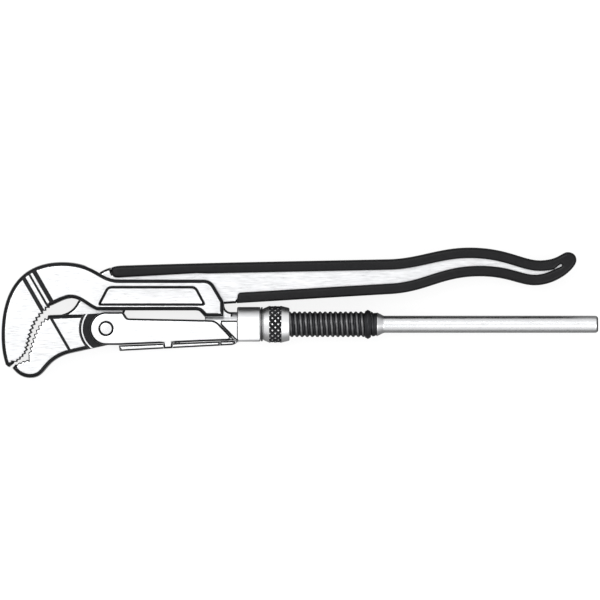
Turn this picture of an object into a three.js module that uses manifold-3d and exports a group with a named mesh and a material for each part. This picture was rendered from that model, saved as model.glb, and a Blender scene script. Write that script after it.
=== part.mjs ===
// A Swedish-pattern pipe wrench with 45 degree S-shaped jaws, lying flat. Millimetres, +Z up.
// It is drawn on two axes: X runs along the threaded shank, with X = 0 at the pivot pin while the
// jaws are closed, and Y = 0 is the shank's axis. Z = 0 is the middle plane of the flat tool.
// The last lines move the whole group so that it stands on Z = 0 with its box centred on the origin.
import * as THREE from "three";
import { mergeVertices } from "three/addons/utils/BufferGeometryUtils.js";
import Module from "manifold-3d";

const wasm = await Module();
wasm.setup();

// ---- Driving dimensions ----
const GAP = 0.3; // clearance between neighbouring pieces
const CURVE_STEPS = 10; // straight steps in each curved stretch of an outline
const ROUND_STEPS = 32; // sides of a turned piece

const JAW_HALF = 13; // half thickness of both jaws
const ARM_HALF = 12; // half thickness of the hook leg's arm
// Where each jaw gets thinner: distance behind a line that leans 60 degrees, and half thickness.
const ARM_STEP_POINT = [-51, 20.2];
const ARM_STEPS = [
  [-1.3, JAW_HALF], [1.2, 12.6], [4.1, 12.6], [5.1, 12.4], [7.3, 12.4], [10.5, ARM_HALF],
];
const LOWER_JAW_STEP_POINT = [-32, -8];
const LOWER_JAW_STEPS = [[0, JAW_HALF], [0.8, 12.5]];
const RECESS_DEPTH = 2.2; // sunk panel on both sides of the arm
const RECESS_CORNER = 2.4;
const SLOT_HALF = 4; // half width of the slot through the arm
const WEB_HALF = 3.5; // half thickness of the lever's web
const FLANGE_HALF = 7.5; // half width of the lever's I-beam flanges
const FLANGE_DEPTH = 7.4; // height of each flange in the plane of the tool
const RELIEF_HALF = 8.3; // half width of the relief that the top flange swings into

const TOOTH_PITCH = 3.2;
const TOOTH_DEPTH = 1.6;
const CHIN_PITCH = 3; // finer teeth at the tips of the jaws
const HOOK_CHIN_DEPTH = 1;
const LOWER_CHIN_DEPTH = 0.8;

const PIN_Y = -3;
const PIN_RADIUS = 4.7;
const PIN_HEAD_RADIUS = 5.3;
const PIN_HEAD_THICK = 0.8;
const PIN_TAPER = 1.4; // distance from a cheek's inner face at which the peened head begins
const BOSS_RADIUS = 11.2;
const POCKET_RADIUS = 17.2; // floor of the round pocket beside the pin
const POCKET_RIM_RADIUS = 19.3; // where the pocket's sloping wall meets the jaw's flat side

const CHEEK_IN = 9.4; // inner face of a shackle cheek
const CHEEK_OUT = 12.6;
const BOSS_HALF = CHEEK_IN - GAP;
const CHEEK_END_RADIUS = 11.6;
const TAB_FROM = 40.4; // tabs that key the cheeks into the base strap
const TAB_TO = 46.8;
const SEAM_X = 80.1; // butt seam between the base strap and the collar's foot

const PITCH = 3.6;
const THREAD_ROOT = 7.9;
const THREAD_CREST = 9;
const THREAD_FROM = 93.5;
const THREAD_TO = 190.2;
const THREAD_SIDES = 18;
const THREAD_PHASE = 1.1; // axial place of one root at angle zero
const THREAD_PROFILE = [[0, 0], [0.35, 1], [0.65, 1]]; // place in the pitch, height
const THREAD_CLEARANCE = 0.35;

const COLLAR_FROM = 92.1;
const COLLAR_TO = 108.6;
const COLLAR_RADIUS = 12.15;
const COLLAR_BORE = 9.4;
const SPIGOT_FROM = 101.5;
const SPIGOT_RADIUS = 10.7;
const SNAP_FROM = 103.6;
const SNAP_TO = 104.8;
const SNAP_IN = 10.3;
const SNAP_OUT = 11.4;
const SNAP_MOUTH = 3.6; // width of the gap in the snap ring
const WASHER_RADIUS = 12;
const NUT_FROM = 110.4;
const NUT_TO = 129;
const NUT_FACE_RADIUS = 11.2;
const KNURL_FROM = 114.6;
const KNURL_TO = 123.4;
const KNURL_RADIUS = 12.9;
const KNURL_DEPTH = 0.7;
const KNURL_DIAMONDS = 18;
const KNURL_ROWS = 4;

const STOP_FROM = 182;
const STOP_TO = 186.3;
const STOP_RADIUS = 10.3;
const STOP_SIDE_RADIUS = 9.2;
const STOP_GROOVE_RADIUS = 8;
const STOP_MOUTH = 3; // width of the gap in the open ring
const NECK_FROM = 69.5;
const NECK_RADIUS = 8.6;
const NECK_FILLET_HALF = 7;
const ROD_RADIUS = 6;
const ROD_END = 346.2;
const ROD_END_RADIUS = 2;
const SPRING_HALF = 6.5;
const SPRING_THICK = 1.4;
const SPRING_RIVET_X = 50;
const RIVET_RADIUS = 2;
const RIVET_SINK_RADIUS = 3.4;
const RIVET_HEAD_RADIUS = 3.2;
const PAST = 500; // reach of a cutting tool that passes right through the wrench

// ---- Geometry helpers ----

// A closed three.js geometry as a manifold solid, with its faces turned outwards.
function solid(geometry) {
  const bare = geometry.clone();
  bare.deleteAttribute("normal");
  bare.deleteAttribute("uv");
  const merged = mergeVertices(bare, 1e-4);
  const index = merged.index.array;
  const triangles = [];
  for (let i = 0; i < index.length; i += 3) {
    const [a, b, c] = [index[i], index[i + 1], index[i + 2]];
    if (a !== b && b !== c && c !== a) triangles.push(a, b, c);
  }
  const vertProperties = merged.attributes.position.array;
  const triVerts = new Uint32Array(triangles);
  const made = new wasm.Manifold(new wasm.Mesh({ numProp: 3, vertProperties, triVerts }));
  if (made.volume() > 0) return made;
  triVerts.reverse();
  return new wasm.Manifold(new wasm.Mesh({ numProp: 3, vertProperties, triVerts }));
}

function join(...solids) {
  return solids.reduce((whole, next) => whole.add(next));
}

function cut(whole, ...tools) {
  return tools.reduce((left, tool) => left.subtract(tool), whole);
}

function geometryOf(made) {
  const mesh = made.getMesh();
  const geometry = new THREE.BufferGeometry();
  geometry.setAttribute("position", new THREE.BufferAttribute(mesh.vertProperties, 3));
  geometry.setIndex(new THREE.BufferAttribute(mesh.triVerts, 1));
  const flat = geometry.toNonIndexed();
  flat.computeVertexNormals();
  return flat;
}

// An outline in the XY plane, as a plate between two heights.
function plate(shape, low, high, steps = CURVE_STEPS) {
  const options = { depth: high - low, bevelEnabled: false, curveSegments: steps };
  return solid(new THREE.ExtrudeGeometry(shape, options).translate(0, 0, low));
}

function polygon(points) {
  return new THREE.Shape(points.map(([x, y]) => new THREE.Vector2(x, y)));
}

// A polygon whose corners are rounded with one radius.
function roundedPolygon(points, radius) {
  const corners = points.map(([x, y]) => new THREE.Vector2(x, y));
  const shape = new THREE.Shape();
  corners.forEach((corner, i) => {
    const next = corners[(i + 1) % corners.length];
    const before = corners.at(i - 1).clone().sub(corner).setLength(radius).add(corner);
    const after = next.clone().sub(corner).setLength(radius).add(corner);
    if (i === 0) shape.moveTo(before.x, before.y);
    else shape.lineTo(before.x, before.y);
    shape.quadraticCurveTo(corner.x, corner.y, after.x, after.y);
  });
  return shape;
}

function box(x0, x1, y0, y1, z0, z1) {
  return plate(polygon([[x0, y0], [x1, y0], [x1, y1], [x0, y1]]), z0, z1);
}

// A piece turned about the shank's axis: the profile is a list of [x, radius] points.
// A profile that does not start on the axis is closed on itself, which makes a ring.
function turned(profile, sides = ROUND_STEPS) {
  const points = profile.map(([x, radius]) => new THREE.Vector2(radius, x));
  if (profile[0][1] > 0) points.push(points[0].clone());
  return solid(new THREE.LatheGeometry(points, sides).rotateZ(-Math.PI / 2));
}

function rod(from, to, radius, sides = ROUND_STEPS) {
  return turned([[from, 0], [from, radius], [to, radius], [to, 0]], sides);
}

// A piece turned about the pivot pin: the profile is a list of [z, radius] points.
function turnedOnPin(profile, sides = ROUND_STEPS) {
  const points = profile.map(([z, radius]) => new THREE.Vector2(radius, z));
  const turnedUp = new THREE.LatheGeometry(points, sides).rotateX(Math.PI / 2);
  return solid(turnedUp.translate(0, PIN_Y, 0));
}

// The point beside a flat curve, to the left of its direction.
function beside(curve, place, distance) {
  const point = curve.getPointAt(place);
  const along = curve.getTangentAt(place);
  return new THREE.Vector2(point.x - along.y * distance, point.y + along.x * distance);
}

function bezier(from, leaving, arriving, to) {
  const points = [from, leaving, arriving, to].map(([x, y]) => new THREE.Vector2(x, y));
  return new THREE.CubicBezierCurve(...points);
}

// Adds saw teeth to an outline along a curve, with their tips to the left of its direction, or to
// the right where the depth is negative.
function addTeeth(shape, curve, pitch, depth) {
  const count = Math.round(curve.getLength() / pitch);
  for (let i = 0; i < count; i++) {
    const root = beside(curve, i / count, -depth / 2);
    const tip = beside(curve, (i + 0.4) / count, depth / 2);
    shape.lineTo(root.x, root.y);
    shape.lineTo(tip.x, tip.y);
  }
}

// The body of a right-hand screw about the X axis, closed by a flat face at each end.
function screw(from, to, root, crest) {
  const firstTurn = Math.floor((from - THREAD_PHASE) / PITCH) - 2;
  const lastTurn = Math.ceil((to - THREAD_PHASE) / PITCH);
  const rows = [];
  for (let turn = firstTurn; turn <= lastTurn; turn++) {
    for (const [place, height] of THREAD_PROFILE) rows.push({ place: turn + place, height });
  }
  const vertex = (row, column) => {
    const axial = THREAD_PHASE + (row.place + column / THREAD_SIDES) * PITCH;
    const x = Math.min(Math.max(axial, from), to);
    const runOut = Math.min(1, (x - from) / PITCH, (to - x) / PITCH);
    const radius = root + (crest - root) * row.height * runOut;
    const angle = (2 * Math.PI * (column % THREAD_SIDES)) / THREAD_SIDES;
    return [x, radius * Math.cos(angle), radius * Math.sin(angle)];
  };
  const faces = [];
  for (let column = 0; column < THREAD_SIDES; column++) {
    for (let i = 0; i + 1 < rows.length; i++) {
      const a = vertex(rows[i], column);
      const b = vertex(rows[i + 1], column);
      const c = vertex(rows[i + 1], column + 1);
      const d = vertex(rows[i], column + 1);
      faces.push(a, b, c, a, c, d);
    }
    const low = [vertex(rows[0], column), vertex(rows[0], column + 1)];
    const high = [vertex(rows.at(-1), column), vertex(rows.at(-1), column + 1)];
    faces.push([from, 0, 0], low[0], low[1], [to, 0, 0], high[1], high[0]);
  }
  return solid(meshOf(faces));
}

// A geometry from a flat list of triangle corners.
function meshOf(faces) {
  const geometry = new THREE.BufferGeometry();
  return geometry.setAttribute("position", new THREE.Float32BufferAttribute(faces.flat(), 3));
}

// A round body about the X axis with flat ends. Each row is [x, radius, low radius]: where the
// low radius differs, every other corner of the row is low, which makes raised diamonds.
function roundBody(rows, columns) {
  const radiusAt = (row, column) => rows[row][(row + column) % 2 === 0 ? 1 : 2];
  const vertex = (row, column) => {
    const angle = (2 * Math.PI * (column % columns)) / columns;
    const radius = radiusAt(row, column);
    return [rows[row][0], radius * Math.cos(angle), radius * Math.sin(angle)];
  };
  const last = rows.length - 1;
  const faces = [];
  for (let column = 0; column < columns; column++) {
    for (let row = 0; row < last; row++) {
      const a = vertex(row, column);
      const b = vertex(row + 1, column);
      const c = vertex(row + 1, column + 1);
      const d = vertex(row, column + 1);
      if ((row + column) % 2 === 0) faces.push(a, b, d, b, c, d);
      else faces.push(a, b, c, a, c, d);
    }
    faces.push([rows[0][0], 0, 0], vertex(0, column), vertex(0, column + 1));
    faces.push([rows[last][0], 0, 0], vertex(last, column + 1), vertex(last, column));
  }
  return solid(meshOf(faces));
}

// A bar that gets thinner in steps. The steps are [distance, half thickness] pairs, and their
// distance is measured from a line that passes through a point of the plane and leans 60 degrees.
function steppedBar(point, steps) {
  const upper = [[-PAST, steps[0][1]], ...steps, [PAST, steps.at(-1)[1]]];
  const lower = upper.map(([distance, half]) => [distance, -half]).reverse();
  const options = { depth: 2 * PAST, bevelEnabled: false };
  const profile = polygon([...upper, ...lower]);
  const bar = new THREE.ExtrudeGeometry(profile, options).translate(0, 0, -PAST);
  bar.rotateX(Math.PI / 2).rotateZ(Math.PI / 6).translate(point[0], point[1], 0);
  return solid(bar);
}

// ---- Hook leg: hook jaw, slotted arm, neck, screw thread and round handle in one forging ----

function hookOutline() {
  const shape = new THREE.Shape();
  shape.moveTo(-39.4, 12.9);
  const face = bezier([-39.4, 12.9], [-53.9, 2], [-52.6, -7.7], [-56.6, -19.5]);
  const chin = bezier([-56.6, -19.5], [-58.8, -23], [-61.6, -26.1], [-67, -27.8]);
  addTeeth(shape, face, TOOTH_PITCH, TOOTH_DEPTH);
  addTeeth(shape, chin, CHIN_PITCH, HOOK_CHIN_DEPTH);
  shape.lineTo(-68, -30.2);
  shape.lineTo(-70.7, -28.6);
  shape.bezierCurveTo(-73, -22, -73.8, -15, -73.8, -7.5);
  shape.bezierCurveTo(-73.8, 17, -65.1, 43.8, -30.9, 43.8);
  shape.bezierCurveTo(-7.5, 43.8, -4, 31.8, 9, 31.8);
  shape.lineTo(68.2, 31.8);
  shape.quadraticCurveTo(74, 31.8, 76.8, 27);
  shape.lineTo(83, 16.4);
  shape.lineTo(83, 5);
  shape.lineTo(69.5, 5);
  shape.lineTo(66.5, 8.2);
  shape.quadraticCurveTo(65.3, 9.5, 62.6, 9.5);
  shape.lineTo(-6.3, 9.5);
  shape.bezierCurveTo(-12.9, 11.2, -17.5, 18.1, -25.3, 18.1);
  shape.bezierCurveTo(-29.4, 18.1, -36.2, 13.8, -39.4, 12.9);
  return shape;
}

function armSlot() {
  const frontWall = [[-27.5, 13], [-15.5, 39.2], [-10.5, 50]];
  const floor = [[100, 50], [100, 10.5], [66, 10.5], [66, 3], [-27.5, 3]];
  const slot = plate(polygon([...frontWall, ...floor]), -SLOT_HALF, SLOT_HALF);
  const relief = box(-13.5, 7, 32, 50, -RELIEF_HALF, RELIEF_HALF);
  return join(slot, relief);
}

function armRecess(side) {
  const corners = [[1.4, 26.1], [62.8, 26.1], [69.3, 13.8], [-5, 13.8]];
  const outline = roundedPolygon(corners, RECESS_CORNER);
  const floor = ARM_HALF - RECESS_DEPTH;
  return side > 0 ? plate(outline, floor, PAST, 4) : plate(outline, -PAST, -floor, 4);
}

function neck() {
  const fillet = new THREE.Shape();
  fillet.moveTo(80, 14.3);
  fillet.lineTo(83, 14.3);
  fillet.quadraticCurveTo(83, 8.4, 89, 8.4);
  fillet.lineTo(89, 0);
  fillet.lineTo(80, 0);
  return join(
    plate(fillet, -NECK_FILLET_HALF, NECK_FILLET_HALF, 6),
    rod(NECK_FROM, THREAD_FROM + 1, NECK_RADIUS),
  );
}

function roundHandle() {
  const profile = [[THREAD_TO - 1, 0], [THREAD_TO - 1, THREAD_ROOT], [190.6, 8.4], [192.6, 7.4]];
  profile.push([194, 6.7], [195, 6.2], [195.6, ROD_RADIUS]);
  for (let i = 0; i <= 4; i++) {
    const angle = (Math.PI / 2) * (i / 4);
    const x = ROD_END - ROD_END_RADIUS * (1 - Math.sin(angle));
    profile.push([x, ROD_RADIUS - ROD_END_RADIUS * (1 - Math.cos(angle))]);
  }
  profile.push([ROD_END, 0]);
  return turned(profile);
}

function hookLeg() {
  const head = plate(hookOutline(), -JAW_HALF, JAW_HALF);
  const stepped = head.intersect(steppedBar(ARM_STEP_POINT, ARM_STEPS));
  const slotted = cut(join(stepped, neck()), armSlot(), armRecess(1), armRecess(-1));
  const thread = screw(THREAD_FROM, THREAD_TO, THREAD_ROOT, THREAD_CREST);
  const past = THREAD_CREST + 3;
  const ringGroove = turned([
    [STOP_FROM - GAP, STOP_GROOVE_RADIUS], [STOP_FROM - GAP, past],
    [STOP_TO + GAP, past], [STOP_TO + GAP, STOP_GROOVE_RADIUS],
  ]);
  return cut(join(slotted, thread, roundHandle()), ringGroove);
}

// An open spring ring in the groove near the end of the thread keeps the nut from running off.
function threadStopRing() {
  const bore = STOP_GROOVE_RADIUS + GAP;
  const middle = (STOP_FROM + STOP_TO) / 2;
  const ring = turned([
    [STOP_FROM, bore], [STOP_FROM, STOP_SIDE_RADIUS], [middle, STOP_RADIUS],
    [STOP_TO, STOP_SIDE_RADIUS], [STOP_TO, bore],
  ]);
  return cut(ring, box(STOP_FROM - 1, STOP_TO + 1, 0, PAST, -STOP_MOUTH / 2, STOP_MOUTH / 2));
}

// ---- Lever leg: lower jaw, boss, web and I-beam handle in one forging ----

// The handle's upper edge from the rounded nose over the arm to the tip, and its lower edge back.
const TOP_EDGE = [
  bezier([3, 39.9], [7, 41.4], [12, 41.4], [16.9, 41.5]),
  bezier([16.9, 41.5], [70, 43.4], [130, 44.3], [199.7, 45.8]),
  bezier([199.7, 45.8], [221, 46.6], [234, 54], [255.9, 54]),
  bezier([255.9, 54], [282, 54], [293.4, 45], [305.1, 45]),
  bezier([305.1, 45], [317.8, 45], [320.9, 50.8], [324.8, 50.8]),
];
const TIP = [
  bezier([324.8, 50.8], [329.7, 50.8], [331, 47.5], [331, 45.2]),
];
const LOWER_EDGE = [
  bezier([331, 45.2], [331, 39.5], [317.4, 27.4], [301.6, 27.4]),
  bezier([301.6, 27.4], [290.5, 27.4], [283, 33.7], [262.9, 33.7]),
  bezier([262.9, 33.7], [236, 33.7], [226, 22.6], [199.7, 21.2]),
  bezier([199.7, 21.2], [164, 19.2], [128, 16.9], [92, 14.8]),
];

function followed(shape, curves) {
  for (const curve of curves) {
    const points = [curve.v1, curve.v2, curve.v3].flatMap((point) => [point.x, point.y]);
    shape.bezierCurveTo(...points);
  }
}

function webOutline() {
  const shape = new THREE.Shape();
  shape.moveTo(-31, 7);
  shape.bezierCurveTo(-25, 8.5, -22, 12, -20, 16);
  shape.lineTo(-4.2, 36.8);
  shape.bezierCurveTo(-2, 38.1, 0.5, 39.2, 3, 39.9);
  followed(shape, [...TOP_EDGE, ...TIP, ...LOWER_EDGE]);
  shape.lineTo(83.7, 14.3);
  shape.lineTo(14, 11.2);
  shape.lineTo(10.2, 1.5);
  shape.lineTo(0, PIN_Y);
  shape.lineTo(-31, 0);
  return shape;
}

// Points along a chain of curves, set in from it on its right-hand side.
function inset(curves, depth, steps) {
  const points = [];
  for (const curve of curves) {
    for (let i = 0; i < steps; i++) points.push(beside(curve, i / steps, -depth));
  }
  return points;
}

// Both flanges: the handle's outline with its middle, where only the thin web is left, cut out.
function flanges() {
  const whole = new THREE.Shape();
  whole.moveTo(3.5, 36.9);
  whole.lineTo(3.5, 40.1);
  followed(whole, [...TOP_EDGE, ...TIP, ...LOWER_EDGE]);
  whole.lineTo(92, 19.5);
  whole.quadraticCurveTo(92, 22.2, 95, 22.4);
  whole.lineTo(95, 30);
  whole.lineTo(64, 36);
  whole.lineTo(8, 32.9);
  whole.quadraticCurveTo(3.5, 32.9, 3.5, 36.9);
  const upper = inset(TOP_EDGE, FLANGE_DEPTH, 8).filter((point) => point.x > 66 && point.x < 317);
  const lower = inset(LOWER_EDGE, FLANGE_DEPTH, 8).filter((point) => point.x < 312);
  const pairs = (points) => points.map((point) => [point.x, point.y]);
  const window = [[64, 30], [64, 36], ...pairs(upper), [320.5, 41.5], ...pairs(lower), [90, 22.2]];
  return cut(
    plate(whole, -FLANGE_HALF, FLANGE_HALF),
    plate(polygon(window), -PAST, PAST),
  );
}

function lowerJawOutline() {
  const shape = new THREE.Shape();
  shape.moveTo(0, 8.2);
  shape.lineTo(-9.8, 7.7);
  shape.lineTo(-40.8, 6.5);
  const face = bezier([-53.8, -21.9], [-54.4, -18], [-48, 2.5], [-41.6, 4.2]);
  const chin = bezier([-65.2, -29.5], [-62, -27.8], [-58.5, -25.8], [-54.4, -25.2]);
  const down = new THREE.CubicBezierCurve(face.v3, face.v2, face.v1, face.v0);
  const out = new THREE.CubicBezierCurve(chin.v3, chin.v2, chin.v1, chin.v0);
  addTeeth(shape, down, TOOTH_PITCH, -TOOTH_DEPTH);
  addTeeth(shape, out, CHIN_PITCH, -LOWER_CHIN_DEPTH);
  shape.lineTo(-66.1, -30.7);
  shape.bezierCurveTo(-62.4, -35.7, -58.3, -37.8, -53.4, -37.8);
  shape.bezierCurveTo(-41.1, -37.8, -44.2, -25.5, -25.3, -20.5);
  shape.lineTo(0, -14.9);
  shape.lineTo(6, -13);
  shape.lineTo(8.5, -11.7);
  shape.lineTo(14, -11.7);
  shape.lineTo(15.5, -10);
  shape.lineTo(15.5, -2);
  shape.lineTo(11, 0.5);
  shape.absarc(0, PIN_Y, BOSS_RADIUS, Math.PI * 0.12, Math.PI / 2, false);
  return shape;
}

function cheekPocket(side) {
  const rim = JAW_HALF + 0.1;
  const profile = [[BOSS_HALF, 0], [BOSS_HALF, POCKET_RADIUS], [rim, POCKET_RIM_RADIUS]];
  profile.push([PAST, POCKET_RIM_RADIUS], [PAST, 0]);
  return turnedOnPin(profile.map(([z, radius]) => [z * side, radius]));
}

function leverLeg() {
  const jaw = plate(lowerJawOutline(), -JAW_HALF, JAW_HALF);
  const stepped = jaw.intersect(steppedBar(LOWER_JAW_STEP_POINT, LOWER_JAW_STEPS));
  const pocketed = cut(stepped, cheekPocket(1), cheekPocket(-1));
  const body = join(pocketed, plate(webOutline(), -WEB_HALF, WEB_HALF), flanges());
  const bore = PIN_RADIUS + GAP;
  return cut(body, turnedOnPin([[-PAST, 0], [-PAST, bore], [PAST, bore], [PAST, 0]]));
}

// ---- Carriage: shackle, collar, pivot pin and leaf spring ----

// Height of the joint line between the cheeks and the base strap.
function strapTop(x) {
  return -14.9 + 0.0413 * (x - 8.4);
}

function strapBottom(x) {
  return -18.8 + 0.0533 * (x - 9.8);
}

function cheek(side) {
  const shape = new THREE.Shape();
  shape.moveTo(0, 8.6);
  shape.lineTo(12, 8.6);
  shape.lineTo(14.8, 4.2);
  shape.lineTo(73, 3);
  shape.quadraticCurveTo(77.6, 3, 80.3, -0.6);
  shape.lineTo(90.6, strapTop(90.6) + GAP);
  shape.lineTo(TAB_TO, strapTop(TAB_TO) + GAP);
  shape.lineTo(TAB_TO, strapBottom(TAB_TO));
  shape.lineTo(TAB_FROM, strapBottom(TAB_FROM));
  shape.lineTo(TAB_FROM, strapTop(TAB_FROM) + GAP);
  shape.lineTo(8.4, strapTop(8.4) + GAP);
  shape.lineTo(0, PIN_Y - CHEEK_END_RADIUS);
  shape.absarc(0, PIN_Y, CHEEK_END_RADIUS, -Math.PI / 2, Math.PI / 2, true);
  const faces = side > 0 ? [CHEEK_IN, CHEEK_OUT] : [-CHEEK_OUT, -CHEEK_IN];
  const hole = [
    [CHEEK_IN - 1, 0], [CHEEK_IN - 1, PIN_RADIUS + GAP],
    [CHEEK_IN + PIN_TAPER, PIN_RADIUS + GAP], [CHEEK_OUT - PIN_HEAD_THICK, PIN_HEAD_RADIUS + GAP],
    [CHEEK_OUT + 1, PIN_HEAD_RADIUS + GAP], [CHEEK_OUT + 1, 0],
  ];
  return cut(plate(shape, ...faces, 16), turnedOnPin(hole.map(([z, radius]) => [z * side, radius])));
}

function shackleBase() {
  const right = SEAM_X - GAP / 2;
  const outline = polygon([
    [9, strapTop(9)], [9.8, strapBottom(9.8)],
    [right, strapBottom(right)], [right, strapTop(right)],
  ]);
  const notches = [-1, 1].map((side) => {
    const edge = [BOSS_HALF * side, PAST * side].sort((a, b) => a - b);
    return box(TAB_FROM - GAP, TAB_TO + GAP, -30, 0, ...edge);
  });
  return cut(plate(outline, -CHEEK_OUT, CHEEK_OUT), ...notches, rivetHole(GAP));
}

// The collar is a ring with a square lower half. Its side lugs butt against the cheeks and its
// foot runs on from the base strap.
function slideCollar() {
  const section = new THREE.Shape();
  section.moveTo(COLLAR_RADIUS, 0);
  section.absarc(0, 0, COLLAR_RADIUS, 0, Math.PI, false);
  section.lineTo(-COLLAR_RADIUS, -9);
  section.quadraticCurveTo(-COLLAR_RADIUS, -COLLAR_RADIUS, -9, -COLLAR_RADIUS);
  section.lineTo(9, -COLLAR_RADIUS);
  section.quadraticCurveTo(COLLAR_RADIUS, -COLLAR_RADIUS, COLLAR_RADIUS, -9);
  const options = { depth: COLLAR_TO - COLLAR_FROM, bevelEnabled: false, curveSegments: 16 };
  const ring = new THREE.ExtrudeGeometry(section, options);
  ring.rotateY(Math.PI / 2).translate(COLLAR_FROM, 0, 0);
  const lug = polygon([[82.5, 2.7], [93, 2.7], [93, -11.6], [91.2, -11.2], [81, -0.8]]);
  const left = SEAM_X + GAP / 2;
  const foot = polygon([
    [left, strapTop(left)], [left, strapBottom(left)], [88.6, strapBottom(88.6)],
    [92.8, -12.1], [92.8, strapTop(92.8)],
  ]);
  const floor = box(left, COLLAR_FROM + 1, -13, -9.3, -BOSS_HALF, BOSS_HALF);
  const body = join(
    solid(ring),
    plate(lug, CHEEK_IN, COLLAR_RADIUS),
    plate(lug, -COLLAR_RADIUS, -CHEEK_IN),
    plate(foot, -CHEEK_OUT, CHEEK_OUT),
    floor,
  );
  return cut(
    body,
    rod(SEAM_X - 5, COLLAR_TO + 1, COLLAR_BORE),
    rod(SPIGOT_FROM - GAP, COLLAR_TO + 1, SPIGOT_RADIUS + GAP),
    rod(SNAP_FROM - GAP, SNAP_TO + GAP, SNAP_OUT + GAP),
  );
}

function pivotPin() {
  const half = CHEEK_OUT;
  const profile = [[-half, 0], [-half, PIN_HEAD_RADIUS - 0.3], [-half + 0.4, PIN_HEAD_RADIUS]];
  profile.push([-half + PIN_HEAD_THICK, PIN_HEAD_RADIUS], [-CHEEK_IN - PIN_TAPER, PIN_RADIUS]);
  const mirrored = profile.map(([z, radius]) => [-z, radius]).reverse();
  return turnedOnPin([...profile, ...mirrored]);
}

// The leaf spring lies on the base strap and reaches under the lever's heel.
function leafSpring() {
  const lie = SPRING_THICK / 2 + GAP;
  const curve = bezier(
    [58, strapTop(58) + lie], [40, strapTop(40) + lie], [30, strapTop(30) + lie], [11, -12.75],
  );
  const sides = [-1, 1].map((side) => {
    const points = [];
    for (let i = 0; i <= 10; i++) points.push(beside(curve, i / 10, (side * SPRING_THICK) / 2));
    return points;
  });
  const shape = new THREE.Shape([...sides[0], ...sides[1].reverse()]);
  return cut(plate(shape, -SPRING_HALF, SPRING_HALF), rivetHole(GAP));
}

// A piece turned about the spring rivet's axis: the profile is a list of [y, radius] points.
function turnedOnRivet(profile) {
  const points = profile.map(([y, radius]) => new THREE.Vector2(radius, y));
  return solid(new THREE.LatheGeometry(points, 20).translate(SPRING_RIVET_X, 0, 0));
}

function rivetHole(gap) {
  const bottom = strapBottom(SPRING_RIVET_X);
  return turnedOnRivet([
    [bottom - 3, 0], [bottom - 3, RIVET_SINK_RADIUS + gap], [bottom + 0.5, RIVET_SINK_RADIUS + gap],
    [bottom + 1.7, RIVET_RADIUS + gap], [-8, RIVET_RADIUS + gap], [-8, 0],
  ]);
}

function springRivet() {
  const bottom = strapBottom(SPRING_RIVET_X) + 0.2;
  const seat = strapTop(SPRING_RIVET_X) + GAP + SPRING_THICK + 0.5;
  return turnedOnRivet([
    [bottom, 0], [bottom, RIVET_SINK_RADIUS], [bottom + 0.3, RIVET_SINK_RADIUS],
    [bottom + 1.5, RIVET_RADIUS], [seat, RIVET_RADIUS], [seat, RIVET_HEAD_RADIUS],
    [seat + 0.5, 3], [seat + 1, 2], [seat + 1.1, 0],
  ]);
}

// ---- Adjusting nut, its thrust washer and the snap ring that ties it to the collar ----

function adjustingNut() {
  const snapFloor = SNAP_IN - GAP;
  const rows = [
    [SPIGOT_FROM, SPIGOT_RADIUS], [SNAP_FROM - GAP, SPIGOT_RADIUS], [SNAP_FROM - GAP, snapFloor],
    [SNAP_TO + GAP, snapFloor], [SNAP_TO + GAP, SPIGOT_RADIUS], [NUT_FROM, SPIGOT_RADIUS],
    [NUT_FROM, NUT_FACE_RADIUS], [KNURL_FROM, KNURL_RADIUS],
  ];
  for (let i = 0; i <= KNURL_ROWS; i++) {
    const x = KNURL_FROM + 0.2 + ((KNURL_TO - KNURL_FROM - 0.4) * i) / KNURL_ROWS;
    rows.push([x, KNURL_RADIUS, KNURL_RADIUS - KNURL_DEPTH]);
  }
  rows.push([KNURL_TO, KNURL_RADIUS], [NUT_TO - 1, NUT_FACE_RADIUS + 0.5]);
  rows.push([NUT_TO, NUT_FACE_RADIUS - 0.5]);
  const body = roundBody(rows.map(([x, high, low = high]) => [x, high, low]), 2 * KNURL_DIAMONDS);
  const threadRoom = screw(
    NUT_FROM, NUT_TO + 3 * PITCH, THREAD_ROOT + THREAD_CLEARANCE, THREAD_CREST + THREAD_CLEARANCE,
  );
  const spigotBore = rod(SPIGOT_FROM - 1, NUT_FROM + PITCH, THREAD_CREST + THREAD_CLEARANCE);
  return cut(body, threadRoom, spigotBore);
}

function thrustWasher() {
  const from = COLLAR_TO + GAP;
  const to = NUT_FROM - GAP;
  const bore = SPIGOT_RADIUS + GAP;
  return turned([[from, bore], [from, WASHER_RADIUS], [to, WASHER_RADIUS], [to, bore]]);
}

function nutSnapRing() {
  const ring = turned([
    [SNAP_FROM, SNAP_IN], [SNAP_FROM, SNAP_OUT], [SNAP_TO, SNAP_OUT], [SNAP_TO, SNAP_IN],
  ]);
  return cut(ring, box(SNAP_FROM - 1, SNAP_TO + 1, -PAST, 0, -SNAP_MOUTH / 2, SNAP_MOUTH / 2));
}

// ---- Assembly ----

const steel = { color: 0xb9bcbf, roughness: 0.42, metalness: 1 };
const MATERIALS = {
  forged: new THREE.MeshStandardMaterial(steel),
  plated: new THREE.MeshStandardMaterial({ color: 0xd4d6d8, roughness: 0.3, metalness: 1 }),
  spring: new THREE.MeshStandardMaterial({ color: 0x4c4f55, roughness: 0.4, metalness: 1 }),
};

const PIECES = {
  hook_leg: [hookLeg, "forged"],
  thread_stop_ring: [threadStopRing, "spring"],
  lever_leg: [leverLeg, "forged"],
  shackle_front_cheek: [() => cheek(1), "plated"],
  shackle_rear_cheek: [() => cheek(-1), "plated"],
  shackle_base: [shackleBase, "plated"],
  slide_collar: [slideCollar, "plated"],
  pivot_pin: [pivotPin, "plated"],
  leaf_spring: [leafSpring, "spring"],
  spring_rivet: [springRivet, "plated"],
  adjusting_nut: [adjustingNut, "plated"],
  thrust_washer: [thrustWasher, "spring"],
  nut_snap_ring: [nutSnapRing, "spring"],
};

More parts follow.
